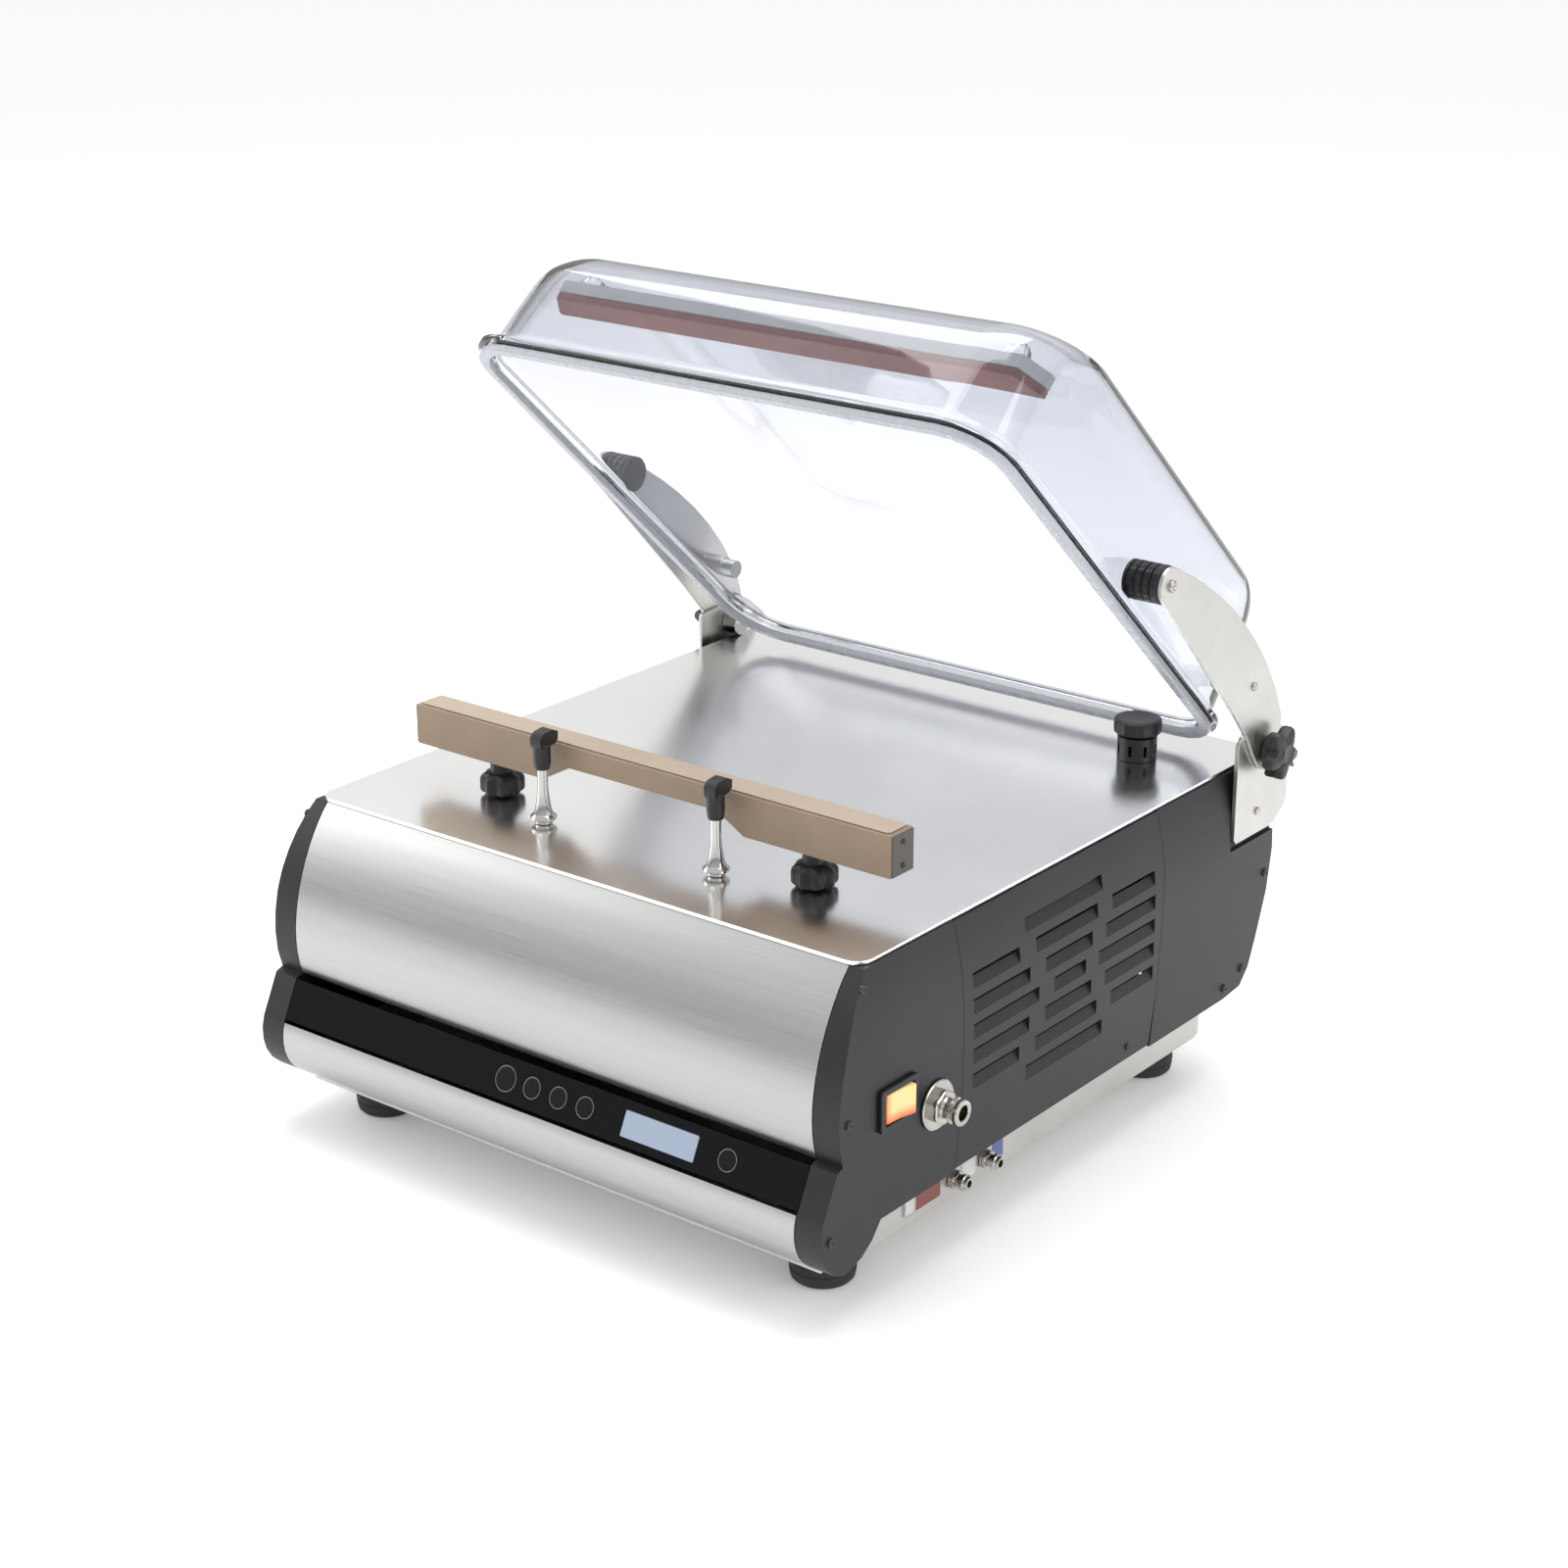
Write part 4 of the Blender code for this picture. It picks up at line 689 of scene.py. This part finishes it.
for word in ("front", "rear"):
    low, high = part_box("service_fitting_" + word)
    middle = 0.5 * (low + high)
    reach = high.x - low.x
    union = turned("oil_union_" + word, [(5.0 * MM, 0.0), (7.0 * MM, 0.2 * MM), (7.0 * MM, 4.2 * MM),
                                         (6.2 * MM, 5.0 * MM), (4.4 * MM, 5.2 * MM), (4.2 * MM, 7.2 * MM),
                                         (5.6 * MM, 8.2 * MM), (5.6 * MM, 10.4 * MM), (4.8 * MM, 11.2 * MM),
                                         (4.2 * MM, reach), (2.6 * MM, reach),
                                         (2.4 * MM, reach - 6.0 * MM)], 48, 28.0)
    pull_lobes(union, 6, 0.8 * MM, 0.1 * MM, 4.9 * MM)
    settle(union, Matrix.Translation((low.x, middle.y, middle.z)) @ TO_RIGHT, "machine_body", nickel,
           ["service_fitting_" + word])

tray_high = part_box("base_tray")[1]
front_union, rear_union = (0.5 * sum(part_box("service_fitting_" + word), Vector())
                           for word in ("front", "rear"))
PATCH_THICK, PATCH_TALL, PATCH_RISE = 0.3 * MM, 15.0 * MM, 1.0 * MM
UNION_GAP = 10.0 * MM
for name, colour, start, end in (
        ("marking_patch_white", (0.66, 0.66, 0.64), front_union.y - 54.0 * MM, front_union.y - 43.0 * MM),
        ("marking_patch_red", (0.22, 0.050, 0.035), front_union.y - 42.0 * MM, front_union.y - 14.0 * MM),
        ("marking_patch_pale", (0.66, 0.66, 0.64), front_union.y + UNION_GAP, rear_union.y - UNION_GAP),
        ("marking_patch_blue", (0.10, 0.13, 0.34), rear_union.y + UNION_GAP, rear_union.y + 22.0 * MM)):
    patch = block(name, (PATCH_THICK, end - start, PATCH_TALL))
    bpy.ops.object.mode_set(mode="EDIT")
    bpy.ops.mesh.select_all(action="DESELECT")
    bpy.ops.object.mode_set(mode="OBJECT")
    for edge in patch.data.edges:
        ends = [patch.data.vertices[end].co for end in edge.vertices]
        edge.select = abs(ends[0].x - ends[1].x) > 0.1 * MM
    bpy.ops.object.mode_set(mode="EDIT")
    bpy.ops.mesh.select_mode(type="EDGE")
    bpy.ops.mesh.bevel(offset=1.6 * MM, segments=6)
    bpy.ops.object.mode_set(mode="OBJECT")
    film = Finish(name + "_film", colour, 0.38)
    film.feed("Base Color", film.blended(film.between(film.grain(320.0), 0.0, 1.0),
                                         [0.9 * part for part in colour], colour))
    settle(patch, Matrix.Translation((tray_high.x + 0.5 * PATCH_THICK, 0.5 * (start + end),
                                      front_union.z + PATCH_RISE)), "machine_body", film)


# ---------------------------------------------------------------- lid dome
# The lid is drawn from one thick sheet of clear plastic: a flat rim, straight leaning walls, and a broadly
# rounded shoulder into a flat roof. It is modelled shut, lying along -Y from its hinge, then swung open.

hinge = next(joint for joint in frame["joints"] if joint["name"] == "lid_hinge")
pivot = Vector(hinge["pos_m"])
LID_PLACE = Matrix.Translation(pivot) @ Matrix.Rotation(-math.radians(hinge["range_deg"][1]), 4, "X")
DOME_WALL = 4.4

# Height above the hinge, half width, reach of the front and rear walls from the hinge, in millimetres.
OUTER_FORM = ((6.0, 217.3, 424.8, 7.9), (30.0, 215.0, 423.0, 5.0), (60.0, 212.0, 419.5, 2.0),
              (76.0, 210.0, 411.0, 1.0),
              (92.0, 208.0, 393.0, 3.0), (105.0, 204.0, 365.0, 10.0), (113.0, 197.0, 335.0, 20.0),
              (118.0, 186.0, 305.0, 34.0), (120.0, 168.0, 280.0, 55.0))
SHOULDER_LEAN = (1.0, 1.0, 0.985, 0.93, 0.78, 0.55, 0.37, 0.2, 0.0)
OUTER_FOOT = ((-3.3, 221.6, 431.6, 3.4), (-2.2, 222.8, 432.8, 2.2), (0.9, 223.0, 433.0, 2.0),
              (1.9, 222.6, 432.6, 2.4),
              (2.5, 221.4, 431.4, 3.6), (2.9, 219.4, 428.6, 5.6), (4.0, 217.9, 425.9, 7.2))
INNER_FOOT = ((2.6, 212.6, 421.0, 12.4), (-2.8, 212.2, 422.0, 12.2), (-3.3, 212.8, 422.6, 11.6))


def softened(rings, steps=4):
    """A smooth run of rings through the given ones."""
    run = []
    last = len(rings) - 1
    for index in range(last):
        a, b, c, d = (Vector(rings[min(max(index + shift, 0), last)]) for shift in (-1, 0, 1, 2))
        for step in range(steps):
            t = step / steps
            run.append(0.5 * ((2.0 * b) + (c - a) * t + (2.0 * a - 5.0 * b + 4.0 * c - d) * t * t
                              + (3.0 * b - a - 3.0 * c + d) * t * t * t))
    return run + [Vector(rings[-1])]


inner_form = []
for (level, half, front, rear), lean in zip(OUTER_FORM, SHOULDER_LEAN):
    across = DOME_WALL * lean
    inner_form.append((level - DOME_WALL * math.sqrt(1.0 - lean * lean),
                       half - across, front - across, rear + across))
run = list(reversed(softened(inner_form))) + list(map(Vector, INNER_FOOT)) + list(map(Vector, OUTER_FOOT)) \
    + softened(OUTER_FORM)

# One rounded rectangle starts as the inside of the roof, is drawn down the inner walls, out under the rim and
# up the outer walls, and ends as the outside of the roof.
half, front, rear = 223.0 * MM, 433.0 * MM, 2.0 * MM
level = 0.0
bpy.ops.object.select_all(action="DESELECT")
bpy.ops.mesh.primitive_plane_add(size=1.0, location=(0.0, 0.0, 0.0))
dome = bpy.context.object
dome.name = "lid_dome_clear"
bpy.ops.object.mode_set(mode="EDIT")
bpy.ops.transform.resize(value=(2.0 * half, front - rear, 1.0), center_override=(0.0, 0.0, 0.0))
bpy.ops.transform.translate(value=(0.0, -0.5 * (front + rear), level))
bpy.ops.mesh.bevel(offset=41.0 * MM, segments=14, affect="VERTICES")
bpy.ops.mesh.select_mode(type="FACE")
bpy.ops.mesh.select_all(action="SELECT")
for number, ring in enumerate(run):
    next_level, next_half, next_front, next_rear = (value * MM for value in ring)
    shift = (0.0, -0.5 * (next_front + next_rear - front - rear), next_level - level)
    if number:
        bpy.ops.mesh.extrude_region_move(TRANSFORM_OT_translate={"value": shift})
    else:
        bpy.ops.transform.translate(value=shift)
    bpy.ops.transform.resize(value=(next_half / half, (next_front - next_rear) / (front - rear), 1.0),
                             center_override=(0.0, -0.5 * (next_front + next_rear), next_level))
    level, half, front, rear = next_level, next_half, next_front, next_rear
bpy.ops.mesh.select_all(action="SELECT")
bpy.ops.mesh.normals_make_consistent(inside=False)
bpy.ops.object.mode_set(mode="OBJECT")
bpy.ops.object.shade_smooth_by_angle(angle=math.radians(42.0))

clear = Finish("clear_lid_plastic", (0.76, 0.775, 0.815), 0.02, 0.0,
               {"Transmission Weight": 1.0, "IOR": 1.52})
clear_haze = clear.grain(14.0, 4.0)
# Painted shade: the base colour darkens to a deep blue where the plastic is seen edge-on, giving the dome its
# dark edges.
edge_on_shade = clear.node("LayerWeight", {}, {"Blend": 0.5}, output=1)
clear.feed("Roughness", clear.between(clear_haze, 0.006, 0.03))
clear.feed("Base Color", clear.blended(edge_on_shade ** 4.0, (0.76, 0.775, 0.815), (0.30, 0.34, 0.46)))
settle(dome, LID_PLACE, "lid", clear, ["lid_dome"])


# ---------------------------------------------------------------- lid gasket
# A clear-grey soft section is pressed into the rim's lower face all round and seals on the plate.

seal_rubber = Finish("clear_grey_seal", (0.44, 0.46, 0.50), 0.3)
seal_rubber.feed("Roughness", seal_rubber.between(seal_rubber.grain(120.0), 0.22, 0.36))
rounded_solid("lid_gasket", 1.3 * MM, seal_rubber, "lid", 3, suffix="_seal")


# ---------------------------------------------------------------- counter bar
# Across the front of the lid a pale holder carries a dark red silicone strip, which presses the bag onto the
# sealing band. Clear lugs tie the ends of the holder to the shoulder of the lid.

holder_grey = Finish("pale_holder", (0.56, 0.565, 0.575), 0.42)
holder_grey.feed("Roughness", holder_grey.between(holder_grey.grain(300.0), 0.34, 0.5))
rounded_solid("counter_bar_holder", 0.8 * MM, holder_grey, "lid", 3, suffix="_rail")
silicone = Finish("dark_red_silicone", (0.19, 0.040, 0.036), 0.5, 0.0, {"Sheen Weight": 0.1})
silicone_skin = silicone.grain(350.0)
silicone.feed("Base Color", silicone.blended(silicone.between(silicone.grain(25.0, 4.0), 0.0, 1.0),
                                             (0.16, 0.033, 0.030), (0.25, 0.058, 0.050)))
silicone.feed("Roughness", silicone.between(silicone_skin, 0.42, 0.58))
silicone.raise_by(silicone_skin, 0.06 * MM, 0.4)
rounded_solid("counter_bar_silicone", 0.9 * MM, silicone, "lid", 3, suffix="_strip")

LUG_SIDES = Vector((18.0, 15.0, 12.0)) * MM
LUG_X, LUG_REACH, LUG_LEVEL = 178.0 * MM, 379.0 * MM, 77.6 * MM
for side, word in ((-1, "left"), (1, "right")):
    lug = block("counter_bar_lug_" + word, LUG_SIDES)
    bpy.ops.object.mode_set(mode="EDIT")
    bpy.ops.mesh.select_all(action="DESELECT")
    bpy.ops.object.mode_set(mode="OBJECT")
    for vertex in lug.data.vertices:
        vertex.select = vertex.co.z > 0.0
    bpy.ops.object.mode_set(mode="EDIT")
    bpy.ops.transform.resize(value=(0.6, 0.6, 1.0), center_override=(0.0, 0.0, 0.5 * LUG_SIDES.z))
    bpy.ops.mesh.select_all(action="SELECT")
    bpy.ops.mesh.bevel(offset=1.8 * MM, segments=4)
    bpy.ops.object.mode_set(mode="OBJECT")
    bpy.ops.object.shade_smooth_by_angle(angle=math.radians(35.0))
    settle(lug, LID_PLACE @ Matrix.Translation((side * LUG_X, -LUG_REACH, LUG_LEVEL)), "lid", clear)


# ---------------------------------------------------------------- lid arms and hinge
# A satin arm each side joins the rim to the hinge. It is bolted to a ribbed black spacer high up and to the
# rim near the hinge. A bracket on the chassis carries the hinge stud, which the star knob clamps.

arm_steel = Finish("satin_arm_steel", (0.50, 0.495, 0.475), 0.36, 1.0)
arm_lines = arm_steel.grain(1.0, 4.0, (60.0, 700.0, 60.0))
arm_steel.feed("Roughness", arm_steel.between(arm_lines, 0.30, 0.43))
arm_steel.feed("Base Color", arm_steel.blended(arm_steel.between(arm_steel.grain(14.0, 4.0), 0.0, 1.0),
                                               (0.50, 0.495, 0.47), (0.58, 0.575, 0.55)))
arm_steel.raise_by(arm_lines, 0.02 * MM, 0.35)
star_black = Finish("star_knob_black", (0.030, 0.029, 0.028), 0.42)
star_skin = star_black.grain(1100.0)
star_black.feed("Roughness", star_black.between(star_skin, 0.34, 0.52))
star_black.raise_by(star_skin, 0.04 * MM, 0.4)
BRACKET_FACE_X = 245.7 * MM

for side, word, facing in ((-1, "left", TO_LEFT), (1, "right", TO_RIGHT)):
    rounded_solid("lid_arm_" + word, 0.5 * MM, arm_steel, "lid", 3, suffix="_plate")
    arm_low, arm_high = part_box("lid_arm_" + word)
    outer = arm_high.x if side > 0 else arm_low.x
    for label, reach, level, radius in (("rim", 54.0, 23.0, 3.1), ("spacer", 210.0, 17.0, 4.2)):
        spot = LID_PLACE @ Vector((0.0, -reach * MM, level * MM))
        button_screw(f"arm_screw_{label}_{word}", Vector((outer, spot.y, spot.z)), facing, radius * MM, "lid",
                     nickel)

    low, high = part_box("arm_spacer_" + word)
    middle = 0.5 * (low + high)
    reach = high.x - low.x
    profile = [(7.0 * MM, 0.0), (12.2 * MM, 0.3 * MM), (13.5 * MM, 1.2 * MM)]
    for ring in range(4):
        start = (3.0 + 6.0 * ring) * MM
        profile += [(13.5 * MM, start), (12.3 * MM, start + 0.5 * MM), (12.3 * MM, start + 1.3 * MM),
                    (13.5 * MM, start + 1.8 * MM)]
    profile += [(13.5 * MM, reach - 1.4 * MM), (12.6 * MM, reach)]
    spacer = turned("arm_spacer_ribbed_" + word, profile, 96, 30.0)
    pull_lobes(spacer, 16, 0.6 * MM, 2.0 * MM, reach - 2.0 * MM)
    inside = low.x if side > 0 else high.x
    settle(spacer, Matrix.Translation((inside, middle.y, middle.z)) @ facing, "lid", black_mould,
           ["arm_spacer_" + word])

    rounded_solid("hinge_bracket_" + word, 0.4 * MM, arm_steel,
                  segments=3, suffix="_plate")
    low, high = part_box("hinge_bracket_" + word)
    spot = Vector((side * BRACKET_FACE_X, low.y + 0.42 * (high.y - low.y), low.z + 17.0 * MM))
    button_screw("bracket_screw_" + word, spot, facing, 3.0 * MM, "machine_body", nickel)
    rounded_solid("hinge_boss_" + word, 0.5 * MM, chrome, segments=2, suffix="_bush")

    low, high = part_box("star_knob_" + word)
    reach = high.x - low.x
    base = 14.2 * MM
    top = reach - base
    knob = turned("star_knob_grip_" + word,
                  [(9.0 * MM, 0.0), (9.6 * MM, 0.5 * MM), (9.6 * MM, 4.0 * MM), (14.0 * MM, 4.6 * MM),
                   (18.6 * MM, 5.6 * MM), (20.0 * MM, 7.4 * MM), (20.0 * MM, 12.4 * MM),
                   (19.0 * MM, 14.4 * MM),
                   (16.0 * MM, 15.9 * MM), (11.0 * MM, 16.7 * MM), (7.4 * MM, top),
                   (6.4 * MM, top - 0.5 * MM)], 120, 32.0)
    pull_lobes(knob, 5, 9.0 * MM, 4.2 * MM, 16.8 * MM)
    start = (low.x if side > 0 else high.x) + side * base
    place = Matrix.Translation((start, pivot.y, pivot.z)) @ facing
    settle(knob, place, "star_knob_" + word, star_black, ["star_knob_" + word])
    stud = turned("star_knob_stud_" + word, [(3.4 * MM, 0.0), (4.0 * MM, 0.6 * MM),
                                             (4.0 * MM, base + 0.5 * MM)], 40)
    settle(stud, Matrix.Translation((start - side * base, pivot.y, pivot.z)) @ facing, "star_knob_" + word,
           chrome)
